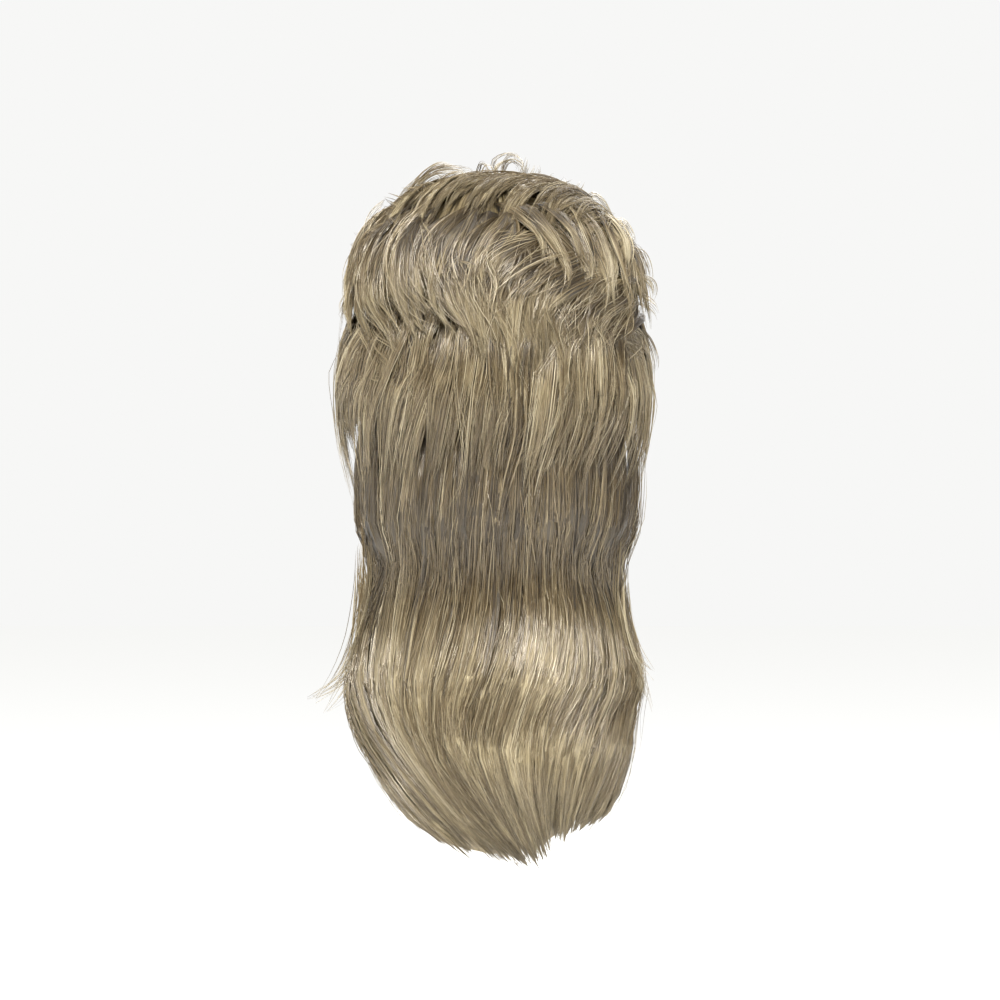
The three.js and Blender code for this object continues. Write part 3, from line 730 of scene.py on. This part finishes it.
# A layer's body wears the dark weft finish: painted shade inside the hair
def hair_body(name, slot, azimuths, top, bottom, lift, rows, nodes=(), closed=False, finish=weft_finish):
    """The teased body of a layer, which thins out over the last few degrees at its open edges."""
    low, high = (-360, 360) if closed else (min(azimuths), max(azimuths))

    def thinned(azimuth, level):
        inside = np.clip(np.minimum(azimuth - low, high - azimuth) / 14, 0, 1)
        return lift(level) * (0.2 + 0.8 * inside * inside * (3 - 2 * inside))

    hair_shell(
        name,
        slot,
        azimuths,
        top=lambda a: top + 0 * a,
        bottom=lambda a: np.interp(a, list(bottom), list(bottom.values())),
        inner=lambda a, l: hair_point(a, l, 0.0),
        outer=lambda a, l: hair_point(a, l, thinned(a, l)),
        rows=rows,
        material=finish,
        nodes=nodes,
        closed=closed,
    )


CROWN_EDGE = {0: 0.8, 132: 0.78, 144: 0.5, 180: 0.47}
TAIL_EDGE = {0: 4.84, 20: 4.78, 35: 4.64, 50: 4.42, 65: 4.12, 78: 3.75, 87: 3.2}
hair_body(
    "crown_body", "crown_fibre", around_head, 0.0, CROWN_EDGE,
    lambda l: np.interp(l, [0, 0.3, 0.64], [0.8, 0.76, 0.56]), 18, closed=True,
)
hair_body(
    "back_body", "layer_fibre", np.linspace(-86, 86, 48), 0.72, {0: 1.75, 86: 1.6},
    lambda l: np.interp(l, [0.72, 0.95, 1.2, 1.75], [0.45, 0.66, 0.66, 0.5]), 18,
)
hair_body(
    "tail_body", "tail_fibre", np.linspace(-87, 87, 56), 1.24, TAIL_EDGE,
    lambda l: np.interp(l, [1.3, 1.7, 3, 3.3, 4.6], [0.42, 0.66, 0.56, 0.7, 0.52]), 34, finish=tail_weft_finish,
)
for hand, side in (("left", -1), ("right", 1)):
    hair_body(
        hand + "_side_body", "layer_fibre", side * np.linspace(88, 133, 18), 0.76, {88: 1.25, 110: 1.2, 133: 1.05},
        lambda l: np.interp(l, [0.8, 1.3], [0.45, 0.3]), 14,
    )
hair_body(
    "fringe_body", "layer_fibre", np.linspace(139, 221, 28), 0.47, {139: 0.6, 180: 0.6, 221: 0.6},
    lambda l: np.interp(l, [0.47, 0.66], [0.5, 0.3]), 8,
)


# The crown: short locks that turn round a whorl and sweep down to the left and over to the right.
# Each row is where the middle of a lock is seen from behind, as its places across and its heights in millimetres.

CROWN_SWEEPS = [
    ([-66, -86, -98, -103, -105, -101], [18, -3, -24, -45, -59, -75]),
    ([-53, -72, -84, -87, -78, -66], [16, -4, -28, -52, -75, -96]),
    ([-37, -56, -65, -66, -56, -47], [13, -5, -27, -51, -73, -92]),
    ([-20, -38, -48, -47, -36, -25], [12, -8, -30, -52, -73, -93]),
    ([-3, -20, -31, -29, -20, -10], [8, -12, -32, -53, -71, -91]),
    ([24, 2, -10, -11, -7, -3], [2, -15, -31, -53, -77, -101]),
    ([44, 18, 2, -1, 4, 8], [-3, -20, -37, -58, -82, -107]),
    ([63, 37, 14, 9, 14, 18], [-10, -25, -40, -62, -86, -111]),
    ([79, 52, 28, 20, 23, 30], [-20, -31, -47, -68, -91, -118]),
    ([90, 65, 41, 33, 37, 41], [-31, -38, -52, -71, -94, -119]),
    ([96, 75, 54, 45, 50, 54], [-43, -46, -58, -76, -96, -119]),
    ([99, 86, 72, 63, 66, 70], [-50, -54, -64, -82, -104, -126]),
    ([100, 94, 87, 82, 84, 88], [-58, -62, -72, -90, -112, -134]),
]
CROWN_RIGHT = [
    ([2, 18, 34, 40, 35], [14, 3, -18, -40, -62]),
    ([20, 38, 54, 60, 56], [14, 2, -22, -48, -72]),
    ([36, 56, 68, 73, 77], [20, 3, -22, -50, -76]),
    ([52, 74, 86, 90, 94], [20, 3, -24, -51, -79]),
    ([66, 88, 100, 105, 107], [14, -5, -28, -52, -82]),
]
# Single locks that stand out over the layers: across, heights, width and tone
BACK_FEATURES = [
    ([100, 86, 71, 51, 25, -16], [-89, -75, -74, -99, -124, -157], 14, 0.48),
    ([94, 79, 65, 45, 17, -3], [-85, -79, -87, -111, -141, -161], 14, 0.48),
    ([71, 64, 60, 50, 41], [-80, -92, -114, -140, -170], 12, 0.5),
    ([69, 76, 75, 65, 55], [-87, -110, -130, -150, -180], 13, 0.56),
    ([78, 83, 82, 74, 64], [-76, -99, -123, -150, -174], 12, 0.52),
    ([71, 83, 96, 109], [-71, -77, -84, -98], 11, 0.55),
    ([98, 111, 112, 107, 102], [-98, -117, -134, -157, -190], 12, 0.6),
    ([105, 112, 110, 106], [-104, -124, -148, -169], 9, 0.56),
    ([-36, -43, -40, -28, -15], [-73, -96, -119, -137, -152], 13, 0.56),
    ([-63, -60, -64, -69], [-70, -90, -114, -137], 11, 0.56),
    ([-88, -74, -62, -63], [-54, -68, -87, -107], 13, 0.52),
    ([-99, -110, -111, -105, -97], [-79, -106, -134, -159, -171], 12, 0.58),
    ([-90, -99, -99, -92], [-82, -108, -135, -163], 12, 0.5),
    ([-95, -83, -69, -60], [-66, -86, -103, -118], 11, 0.45),
    ([4, 12, 4, -6], [-82, -111, -138, -171], 13, 0.56),
    ([30, 33, 23, 4], [-91, -124, -151, -174], 12, 0.52),
    ([50, 43, 35, 24], [-94, -124, -151, -177], 11, 0.45),
    ([-26, -21, -14, -14], [-88, -118, -138, -161], 11, 0.6),
    ([-46, -36, -31, -30], [-91, -114, -137, -164], 11, 0.5),
]
# The middle layer, from its left edge to its right, at these heights
LAYER_HEIGHTS = [-52, -78, -111, -144, -177, -204]
LAYER_ROUTES = [
    [-96, -98, -110, -111, -101, -95],
    [-85, -87, -98, -101, -94, -91],
    [-73, -74, -84, -89, -88, -87],
    [-61, -62, -70, -77, -80, -84],
    [-48, -49, -56, -65, -70, -75],
    [-35, -36, -43, -51, -58, -64],
    [-24, -24, -29, -36, -43, -49],
    [-12, -12, -16, -21, -28, -32],
    [0, 0, -3, -7, -12, -16],
    [12, 12, 10, 6, 1, -4],
    [24, 25, 23, 20, 13, 8],
    [37, 38, 37, 33, 26, 20],
    [51, 52, 51, 48, 40, 33],
    [64, 65, 67, 63, 54, 46],
    [77, 79, 82, 79, 71, 62],
    [90, 92, 97, 96, 88, 77],
    [100, 102, 109, 110, 105, 96],
]
# The tail, from its left edge to its right, at these heights; each row ends at the height of its own tip
TAIL_HEIGHTS = [-124, -171, -210, -238, -268, -305, -334, -358, -394]
TAIL_ROUTES = [
    ([-98, -99, -95, -83, -92, -103, -101, -88, -63, -20], -427),
    ([-88, -90, -87, -78, -84, -93, -92, -77, -48, -9], -429),
    ([-76, -77, -77, -71, -76, -83, -80, -64, -36, 1], -431),
    ([-63, -66, -67, -63, -66, -71, -68, -55, -28, 8], -432),
    ([-49, -54, -57, -55, -57, -62, -62, -50, -25, 14], -433),
    ([-36, -42, -45, -44, -46, -54, -56, -47, -22, 17], -433),
    ([-23, -28, -32, -33, -35, -43, -47, -41, -18, 20], -434),
    ([-10, -14, -18, -19, -22, -31, -38, -34, -12, 23], -434),
    ([2, 0, -3, -4, -7, -16, -26, -24, -4, 25], -435),
    ([14, 12, 10, 9, 8, -1, -12, -13, 4, 28], -435),
    ([25, 25, 24, 22, 21, 14, 4, 0, 12, 30], -434),
    ([37, 37, 36, 33, 33, 28, 18, 12, 19, 32], -432),
    ([50, 49, 46, 43, 44, 41, 32, 23, 26, 35], -429),
    ([64, 63, 58, 52, 55, 56, 47, 36, 35, 38], -425),
    ([76, 75, 69, 62, 66, 71, 65, 53, 46, 43], -421),
    ([88, 87, 81, 72, 77, 84, 81, 69, 58, 50], -417),
    ([98, 100, 94, 82, 85, 94, 92, 81, 69, 58], -412),
    ([107, 108, 101, 88, 90, 101, 99, 90, 78, 66], -407),
]


def seen_routes(rows):
    return [np.column_stack(place_seen(across, height)) for across, height in rows]


sweeps = seen_routes(CROWN_SWEEPS)
right_sweeps = seen_routes(CROWN_RIGHT)
layer_routes = seen_routes([(across, LAYER_HEIGHTS) for across in LAYER_ROUTES])
tail_routes = seen_routes([(across, TAIL_HEIGHTS + [end]) for across, end in TAIL_ROUTES])

rng = np.random.default_rng(11)
RIM = 0.97  # share of the way to the outline where the top turns down
RIM_FALL = 2.5  # levels to each further share


def place_on_top(across, forward):
    """The azimuth and level of places on the top of the hair, from where they lie in plan."""
    across, forward = np.asarray(across, float), np.asarray(forward, float)
    side = SECTIONS["side"][0] + SECTIONS["side_hair"][0]
    back = SECTIONS["back"][0] + SECTIONS["back_hair"][0]
    front = SECTIONS["front"][0] + SECTIONS["front_hair"][0]
    deep = forward / np.where(forward > 0, front, back)
    reach = np.hypot(across / side, deep)
    level = np.arcsin(np.clip(reach, 0, RIM) ** (1 / HAIR_ROUNDNESS)) * 2 / math.pi
    level += np.maximum(reach - RIM, 0) * RIM_FALL
    return np.degrees(np.arctan2(across / side, -deep)), level


def locks_on_top(routes, lift, count, rng, width, thickness, per_mm, tone=0.5, wander=4.0, steps=10, tip=(0.85, 1.0)):
    """Locks spread over a row of routes in plan, each between its two neighbours."""
    routes = np.asarray(routes, float)
    locks = []
    for k in range(count):
        at = np.clip((k + rng.uniform(0.1, 0.9)) / count, 0, 0.9999) * (len(routes) - 1)
        i = int(at)
        route = routes[i] * (1 - (at - i)) + routes[i + 1] * (at - i) + rng.normal(0, wander, 2)
        stops = np.column_stack(
            [route + rng.normal(0, wander * 0.4, route.shape), lift + rng.normal(0, 0.03)]
        )
        rows = curve_through(stops, steps, rng.uniform(0, 0.12), rng.uniform(*tip))
        azimuth, level = place_on_top(rows[:, 0], rows[:, 1])
        middle = hair_point(azimuth, level, rows[:, 2])
        up = hair_point(azimuth, level, rows[:, 2] + 0.1) - middle
        half_width = width * rng.uniform(0.6, 1.35) / 2
        locks.append(
            lock_along(
                middle, up, half_width=half_width, half_thickness=thickness * rng.uniform(0.7, 1.2) / 2,
                tone=tone + rng.normal(0, 0.1), fibres=max(3, round(2 * half_width * per_mm)),
                roll=rng.normal(0, 0.25), phase=rng.uniform(0, 1),
            )
        )
    return locks


def spokes(azimuths, levels, swirl=0.0):
    """Routes that run down from the crown at these azimuths, turning by swirl degrees on the way."""
    levels = np.asarray(levels, float)
    turn = np.linspace(0, swirl, len(levels))
    return [np.column_stack([azimuth + turn, levels]) for azimuth in azimuths]


# Seen from above, the top is combed from the front right over to the back left, in rows of (across, forward).
TOP_ROUTES = [
    [(-20, 62), (-52, 50), (-82, 26), (-100, -6), (-106, -40)],
    [(0, 56), (-34, 40), (-66, 12), (-88, -26), (-96, -58)],
    [(16, 50), (-16, 28), (-48, -2), (-74, -46), (-82, -80)],
    [(32, 42), (2, 16), (-28, -16), (-54, -64), (-62, -100)],
    [(48, 32), (20, 4), (-8, -30), (-34, -82), (-42, -112)],
    [(60, 22), (36, -6), (12, -42), (-12, -94), (-20, -120)],
    [(70, 10), (52, -16), (32, -52), (12, -100), (4, -122)],
    [(78, -2), (66, -26), (52, -58), (36, -98), (28, -118)],
    [(84, -10), (80, -32), (72, -58), (60, -88), (54, -108)],
    [(92, -12), (96, -34), (94, -54), (86, -74), (80, -92)],
]
crown_under = locks_between(
    spokes(np.linspace(-180, 180, 25), [0.42, 0.55, 0.68, 0.8, 0.92], swirl=-10),
    [0.8, 0.8, 0.78, 0.72, 0.62], 44, rng, width=32, thickness=7, per_mm=0.8, tone=0.42, wander=4, steps=9,
)
top_over = locks_on_top(
    TOP_ROUTES, np.array([0.86, 0.9, 0.92, 0.9, 0.82]), 60, rng, width=15, thickness=5, per_mm=1.3, tone=0.42,
    tip=(0.66, 1.04),
)
top_strands = locks_on_top(
    TOP_ROUTES, np.array([0.92, 0.98, 1.0, 0.97, 0.93]), 70, rng, width=7, thickness=4, per_mm=0.8, tone=0.5,
    wander=7, tip=(0.6, 1.0),
)
CROWN_LIFTS = [0.78, 0.85, 0.87, 0.87, 0.95, 1.06]
RIGHT_LIFTS = [0.64, 0.82, 0.88, 0.91, 0.94]
crown_over = locks_between(
    sweeps, CROWN_LIFTS, 80, rng, width=15, thickness=6, per_mm=1.6, tone=0.34, tip=(0.66, 1.06), root=(0.0, 0.22),
    lift_jitter=0.04, wander=3,
) + locks_between(
    right_sweeps, RIGHT_LIFTS, 42, rng, width=11, thickness=5, per_mm=1.6, tone=0.4, tip=(0.7, 1.0),
    lift_jitter=0.05, root=(0.0, 0.3), wander=6,
)
crown_strands = locks_between(
    sweeps, np.array(CROWN_LIFTS) + 0.05, 96, rng, width=8, thickness=3, per_mm=0.6, tone=0.46, tip=(0.6, 1.0),
    root=(0.0, 0.4), wander=3.5, lift_jitter=0.04,
) + locks_between(
    right_sweeps, np.array(RIGHT_LIFTS) + 0.05, 34, rng, width=8, thickness=3, per_mm=0.6, tone=0.48,
    tip=(0.6, 1.0), root=(0.0, 0.3), wander=3.5, lift_jitter=0.04,
)
# and to the front it falls forward over the fringe
FRONT_ROUTES = [
    [(70, 6), (88, 26), (96, 50), (92, 70)],
    [(56, 20), (70, 46), (76, 70), (74, 86)],
    [(38, 34), (46, 60), (50, 84), (50, 100)],
    [(18, 44), (20, 70), (22, 92), (24, 108)],
    [(-2, 50), (-8, 72), (-10, 94), (-8, 112)],
    [(-20, 48), (-32, 68), (-38, 88), (-38, 106)],
    [(-34, 40), (-54, 58), (-64, 74), (-64, 92)],
    [(-48, 26), (-74, 42), (-86, 56), (-86, 72)],
    [(-58, 8), (-90, 20), (-102, 34), (-100, 54)],
]
crown_front = locks_on_top(
    FRONT_ROUTES, np.array([0.9, 0.97, 0.95, 0.85]), 40, rng, width=20, thickness=8, per_mm=1.2, tone=0.5,
) + locks_on_top(
    FRONT_ROUTES, np.array([0.96, 1.02, 1.0, 0.92]), 30, rng, width=8, thickness=4, per_mm=0.8, tone=0.56, wander=6,
)
# and over the ears
for side in (-1, 1):
    crown_front += locks_between(
        spokes(side * np.linspace(74, 150, 8), [0.34, 0.5, 0.64, 0.76, 0.86], swirl=-12 * side),
        [0.84, 0.92, 0.95, 0.92, 0.86], 18, rng, width=17, thickness=7, per_mm=1.2, tone=0.47, wander=4, steps=9,
        tip=(0.7, 1.0), root=(0.0, 0.2),
    )

layer_over = locks_between(
    layer_routes, [0.44, 0.72, 0.97, 0.94, 0.84, 0.74], 60, rng, width=18, thickness=5, per_mm=1.5, tone=0.53,
    root=(0.0, 0.1), tip=(0.56, 1.08), lift_jitter=0.04,
)
layer_strands = locks_between(
    layer_routes, [0.5, 0.78, 1.01, 0.99, 0.92, 0.86], 90, rng, width=8, thickness=3, per_mm=0.75, tone=0.55,
    root=(0.0, 0.3), tip=(0.5, 1.0), wander=2.5, lift_jitter=0.04,
)
features = []
for across, height, width, tone in BACK_FEATURES:
    route = seen_routes([(across, height)])[0]
    lift = np.interp(np.linspace(0, 1, len(route)), [0, 0.3, 0.7, 1], [0.6, 0.9, 0.98, 0.88])
    for part in range(4):
        stops = np.column_stack([route, lift + 0.02 * (part - 2)])
        stops[:, 0] += rng.normal(0, 5)
        stops[:, 1] += rng.normal(0, 0.03)
        features.append(
            lock_in_hair(
                stops, 12, start=rng.uniform(0, 0.1), end=rng.uniform(0.8, 1.0), half_width=width * 0.4,
                half_thickness=2.5, tone=tone + rng.normal(0, 0.06), fibres=round(width * 0.8),
                roll=rng.normal(0, 0.2), phase=rng.uniform(0, 1),
            )
        )

# The lift of the tail's left and right halves at its heights: it dips between the two waves at its end
TAIL_LIFT_LEFT = np.array([0.6, 0.8, 0.85, 0.68, 1.0, 1.04, 0.8, 0.8, 0.86, 0.84])
TAIL_LIFT_RIGHT = np.array([0.6, 0.8, 0.85, 0.68, 1.0, 1.02, 0.58, 1.0, 0.98, 0.84])
share = np.clip((np.arange(len(tail_routes)) - 6) / 4, 0, 1)[:, None]
tail_lifts = TAIL_LIFT_LEFT + (TAIL_LIFT_RIGHT - TAIL_LIFT_LEFT) * share
tail_3d = [np.column_stack([route, lift]) for route, lift in zip(tail_routes, tail_lifts)]
# The tail's fibres are darker towards their roots and paler towards their tips: painted shade over the upper tail,
# where it turns in to the neck, and painted light lower down
TAIL_ROOT_SHADE_TIP_LIGHT = 0.3
# The under locks of the tail have a darker tone than those over them: painted shade under the outer locks
tail_under = locks_between(
    tail_3d, -0.12, 54, rng, width=28, thickness=5, per_mm=0.9, tone=0.28, steps=16, tip=(0.96, 1.0),
    lift_jitter=0.03, level_jitter=0.002, wander=1.5, taper=0.6,
)
tail_over = locks_between(
    tail_3d, 0.02, 72, rng, width=19, thickness=4.5, per_mm=1.2, tone=0.36, steps=16,
    root=(0.0, 0.06), tip=(0.93, 1.0), lift_jitter=0.03, level_jitter=0.003, wander=1.5, taper=0.7,
)
tail_strands = locks_between(
    tail_3d, 0.08, 90, rng, width=9, thickness=3, per_mm=0.5, tone=0.47, steps=16,
    root=(0.0, 0.4), tip=(0.8, 1.0), lift_jitter=0.03, level_jitter=0.004, wander=1.8,
)


def side_routes(side):
    return [
        np.column_stack([
            side * np.array([azimuth, azimuth - 2, azimuth - 5, azimuth - 9]),
            [0.76, 1.0, 1.25, 1.25 + 0.25 * (134 - azimuth) / 50],
        ])
        for azimuth in np.linspace(134, 84, 6)
    ]


side_locks = {
    hand: locks_between(
        side_routes(side), [0.62, 0.8, 0.82, 0.76], 24, rng, width=16, thickness=6, per_mm=1.4, tone=0.46, wander=2.5,
        steps=10,
    )
    for hand, side in (("left", -1), ("right", 1))
}
fringe_locks = locks_between(
    spokes(np.linspace(137, 223, 8), [0.42, 0.52, 0.62, 0.71], swirl=4),
    [0.7, 0.86, 0.86, 0.78], 28, rng, width=15, thickness=6, per_mm=1.3, tone=0.5, wander=2.5, steps=10,
)

# Teased wisps that stand over the top and the edges: across, heights, how far back they lie, fibres and width
WISPS = [
    ([-61, -50, -39, -30, -25], [22, 36, 43, 41, 33], 5, 20, 5),
    ([-58, -47, -36, -24, -18], [24, 37, 41, 39, 32], 12, 20, 5),
    ([-63, -42, -26, -16, -11], [21, 37, 39, 38, 33], 16, 16, 6),
    ([-70, -60, -50, -38], [10, 25, 33, 32], 20, 16, 7),
    ([-44, -34, -24, -14], [24, 34, 37, 30], 20, 16, 7),
    ([-15, -11, -8, -5, -2], [24, 39, 42, 38, 26], 10, 16, 4),
    ([22, 11, 2, -2, 1, 9, 15, 16, 14, 12], [33, 35, 36, 42, 47, 50, 47, 42, 38, 30], 6, 16, 2.5),
    ([4, 6, 10, 16, 20, 19], [30, 42, 48, 47, 42, 34], 0, 12, 3),
    ([14, 19, 22, 21], [26, 36, 44, 49], 8, 12, 5),
    ([22, 27, 30, 29], [24, 34, 41, 45], 4, 12, 5),
    ([32, 37, 41, 43], [20, 29, 35, 37], 8, 12, 5),
    ([42, 48, 51, 51], [18, 27, 33, 36], 6, 12, 5),
    ([50, 56, 60, 62], [14, 24, 30, 33], 4, 12, 5),
    ([60, 69, 78, 84], [12, 22, 14, 4], 10, 14, 5),
    ([78, 88, 94, 96, 94], [-2, 2, -6, -14, -22], 12, 16, 5),
    ([90, 98, 103, 105, 103], [-14, -16, -24, -34, -42], 14, 16, 5),
    ([98, 106, 109, 108], [-34, -38, -44, -54], 16, 16, 5),
    ([96, 106, 112, 113], [-50, -54, -60, -66], 20, 14, 5),
    ([100, 108, 111, 110], [-70, -84, -96, -104], 24, 14, 5),
    ([-76, -86, -90, -92], [16, 4, -8, -20], 10, 16, 6),
    ([-88, -98, -103, -104], [-10, -22, -36, -50], 14, 16, 6),
    ([-96, -104, -107, -103], [-40, -50, -58, -70], 20, 16, 5),
]
# Loose ends of the tail that fan out from its edges over the shoulders
FLICKS = [
    ([-93, -90, -92, -104, -122, -130], [-235, -262, -290, -312, -324, -328], 30, 48, 13),
    ([-90, -88, -92, -101, -112, -121], [-225, -262, -292, -314, -330, -338], 34, 48, 13),
    ([-86, -82, -87, -97, -103], [-200, -240, -272, -300, -322], 34, 36, 9),
    ([88, 88, 94, 103, 112], [-240, -270, -292, -305, -314], 34, 36, 9),
    ([84, 88, 96, 104, 108], [-250, -282, -304, -322, -333], 40, 30, 9),
    ([88, 84, 83, 90, 97], [-200, -232, -262, -290, -310], 34, 30, 8),
]


WISP_STRANDS = 3


def loose_locks(rows, tone, spread):
    """Thin wisps of a few fibres, a few to a row."""
    locks = []
    for across, height, back, fibres, width in rows:
        for _ in range(WISP_STRANDS):
            shift = rng.normal(0, spread, 3)
            out = np.linspace(0, 1, len(across)) ** 1.5
            depth = -back + 3 * shift[2] + out * rng.uniform(-16, 16)
            stops = np.column_stack([across + shift[0], depth, height + shift[1]])
            middle = curve_through(stops, 14, end=rng.uniform(0.85, 1.0))
            up = np.tile([0.0, -1.0, 0.0], (len(middle), 1))
            locks.append(
                lock_along(
                    middle, up, half_width=width / 2, half_thickness=2.0, tone=tone,
                    fibres=fibres // WISP_STRANDS, phase=rng.uniform(0, 1),
                )
            )
    return locks


wisps = loose_locks(WISPS, 0.6, 1.8)
flicks = loose_locks(FLICKS, 0.66, 2.5)

# Short ends that stand out of the teased crown
fuzz = []
for _ in range(110):
    azimuth, level = rng.uniform(50, 310), rng.uniform(0.12, 0.62)
    turn, drop = rng.normal(0, 9), rng.uniform(-0.03, 0.09)
    stops = [
        (azimuth, level, 0.8),
        (azimuth + 0.3 * turn, level + 0.3 * drop, 0.98),
        (azimuth + turn, level + drop, rng.uniform(1.04, 1.2)),
    ]
    fuzz.append(
        lock_in_hair(
            stops, 7, half_width=3.0, half_thickness=1.5, tone=0.44, fibres=3, phase=rng.uniform(0, 1)
        )
    )

# Loose fibres that cross the locks
strays = locks_between(
    sweeps, np.array(CROWN_LIFTS) + 0.07, 60, rng, width=26, thickness=6, per_mm=0.12, tone=0.54, wander=6,
    tip=(0.5, 1.0), root=(0.0, 0.5),
) + locks_between(
    layer_routes, [0.8, 0.9, 0.92, 0.92, 0.9, 0.86], 50, rng, width=26, thickness=6, per_mm=0.1, tone=0.56, wander=5,
    tip=(0.5, 1.0), root=(0.0, 0.5),
) + locks_between(
    tail_3d, 0.06, 40, rng, width=26, thickness=5, per_mm=0.1, tone=0.5, wander=3, steps=16,
    tip=(0.5, 1.0), root=(0.0, 0.6),
)

lock_bodies("crown_locks", crown_under + crown_over + top_over + crown_front, "crown_fibre", ("crown_hair",))
lock_fibres(
    "crown_fibres_under", crown_under + crown_front, "crown_fibre", seed=1, points=8, gathering=0.4, diameter=UNDER_DIAMETER,
    finish=teased_finish,
)
lock_fibres(
    "crown_fibres_top", top_over + top_strands + fuzz, "crown_fibre", seed=15, points=8, finish=teased_finish
)
# The crown's locks and strands are darker at the roots and paler at the tips: painted shade over the top of the crown
lock_fibres("crown_fibres_over", crown_over, "crown_fibre", seed=2, points=10, lighter=0.4, frizz=3.5, frizz_size=20,
            finish=teased_finish)
lock_fibres(
    "crown_strands", crown_strands + wisps, "crown_fibre", seed=12, points=12, strands=3, lighter=0.2, frizz=3
)
lock_bodies("back_locks", layer_over, "layer_fibre", ("back_hair",), length=0.62)
lock_fibres("back_fibres", layer_over, "layer_fibre", seed=3, points=8)
lock_fibres("back_fibres_over", features + layer_strands, "layer_fibre", seed=4, points=10, strands=6)
lock_bodies(
    "tail_locks", tail_under + tail_over, "tail_fibre", ("tail_hair",), length=0.92
)
lock_fibres(
    "tail_fibres_under", tail_under, "tail_fibre", seed=5, points=11, ragged=0.12, gathering=0.35, diameter=UNDER_DIAMETER,
    lighter=TAIL_ROOT_SHADE_TIP_LIGHT, tip_thickness=0.5,
)
lock_fibres(
    "tail_fibres_over", tail_over, "tail_fibre", seed=6, points=11, ragged=0.15,
    lighter=TAIL_ROOT_SHADE_TIP_LIGHT, tip_thickness=0.4,
)
lock_fibres(
    "tail_strands", tail_strands + flicks, "tail_fibre", seed=13, points=12, ragged=0.3, strands=3,
    lighter=TAIL_ROOT_SHADE_TIP_LIGHT / 3,
)
lock_fibres("stray_fibres", strays, "layer_fibre", seed=14, points=10, frizz=8, frizz_size=60, gathering=0.0)
for number, (hand, locks) in enumerate(side_locks.items()):
    lock_bodies(hand + "_side_locks", locks, "layer_fibre", (hand + "_side_hair",))
    lock_fibres(hand + "_side_fibres", locks, "layer_fibre", seed=7 + number, points=9, gathering=0.4)
lock_bodies("fringe_locks", fringe_locks, "layer_fibre", ("fringe_hair",))
lock_fibres("fringe_fibres", fringe_locks, "layer_fibre", seed=9, points=8, gathering=0.4)


# Floor, light and camera


def pale_floor():
    material, _, shader = surface_material("Matt paper, white", roughness=1.0, specular=0.0)
    shader.inputs["Base Color"].default_value = linear("#fdfdfc")
    half, z = 12.0, -FLOOR_DROP * MM
    mesh = bpy.data.meshes.new("floor")
    mesh.from_pydata(
        [(-half, -half, z), (half, -half, z), (half, half, z), (-half, half, z)], [], [(0, 1, 2, 3)]
    )
    mesh.materials.append(material)
    floor = plain_object("floor", mesh)


def soft_light(name, place, aim, size, watts):
    lamp = bpy.data.lights.new(name, "AREA")
    lamp.shape = "DISK"
    lamp.size = size
    lamp.energy = watts
    made = plain_object(name, lamp)
    made.location = place
    direction = np.subtract(aim, place)
    made.rotation_euler = (
        math.pi / 2 + math.atan2(direction[2], math.hypot(direction[0], direction[1])),
        0,
        math.atan2(-direction[0], direction[1]),
    )


pale_floor()
soft_light("key", (-0.5, -1.9, 1.95), (0, 0, -0.2), 0.85, 190)
soft_light("fill", (2.0, -1.6, 1.6), (0, 0, -0.2), 1.4, 40)
soft_light("front", (0.5, 2.6, 1.4), (0, 0, -0.2), 1.6, 70)

world = bpy.data.worlds.new("studio")
world.use_nodes = True
world.node_tree.nodes["Background"].inputs["Color"].default_value = linear("#f7f7f6")
world.node_tree.nodes["Background"].inputs["Strength"].default_value = 1.0
bpy.context.scene.world = world
bpy.context.scene.view_settings.view_transform = "Standard"

camera = plain_object("camera", bpy.data.cameras.new("camera"))
camera.location = (PICTURE_CENTRE[0] * MM, -CAMERA_DISTANCE * MM, PICTURE_CENTRE[1] * MM)
camera.rotation_euler = (math.pi / 2, 0, 0)
camera.data.lens = camera.data.sensor_width * CAMERA_DISTANCE / PICTURE_SIDE
bpy.context.scene.camera = camera
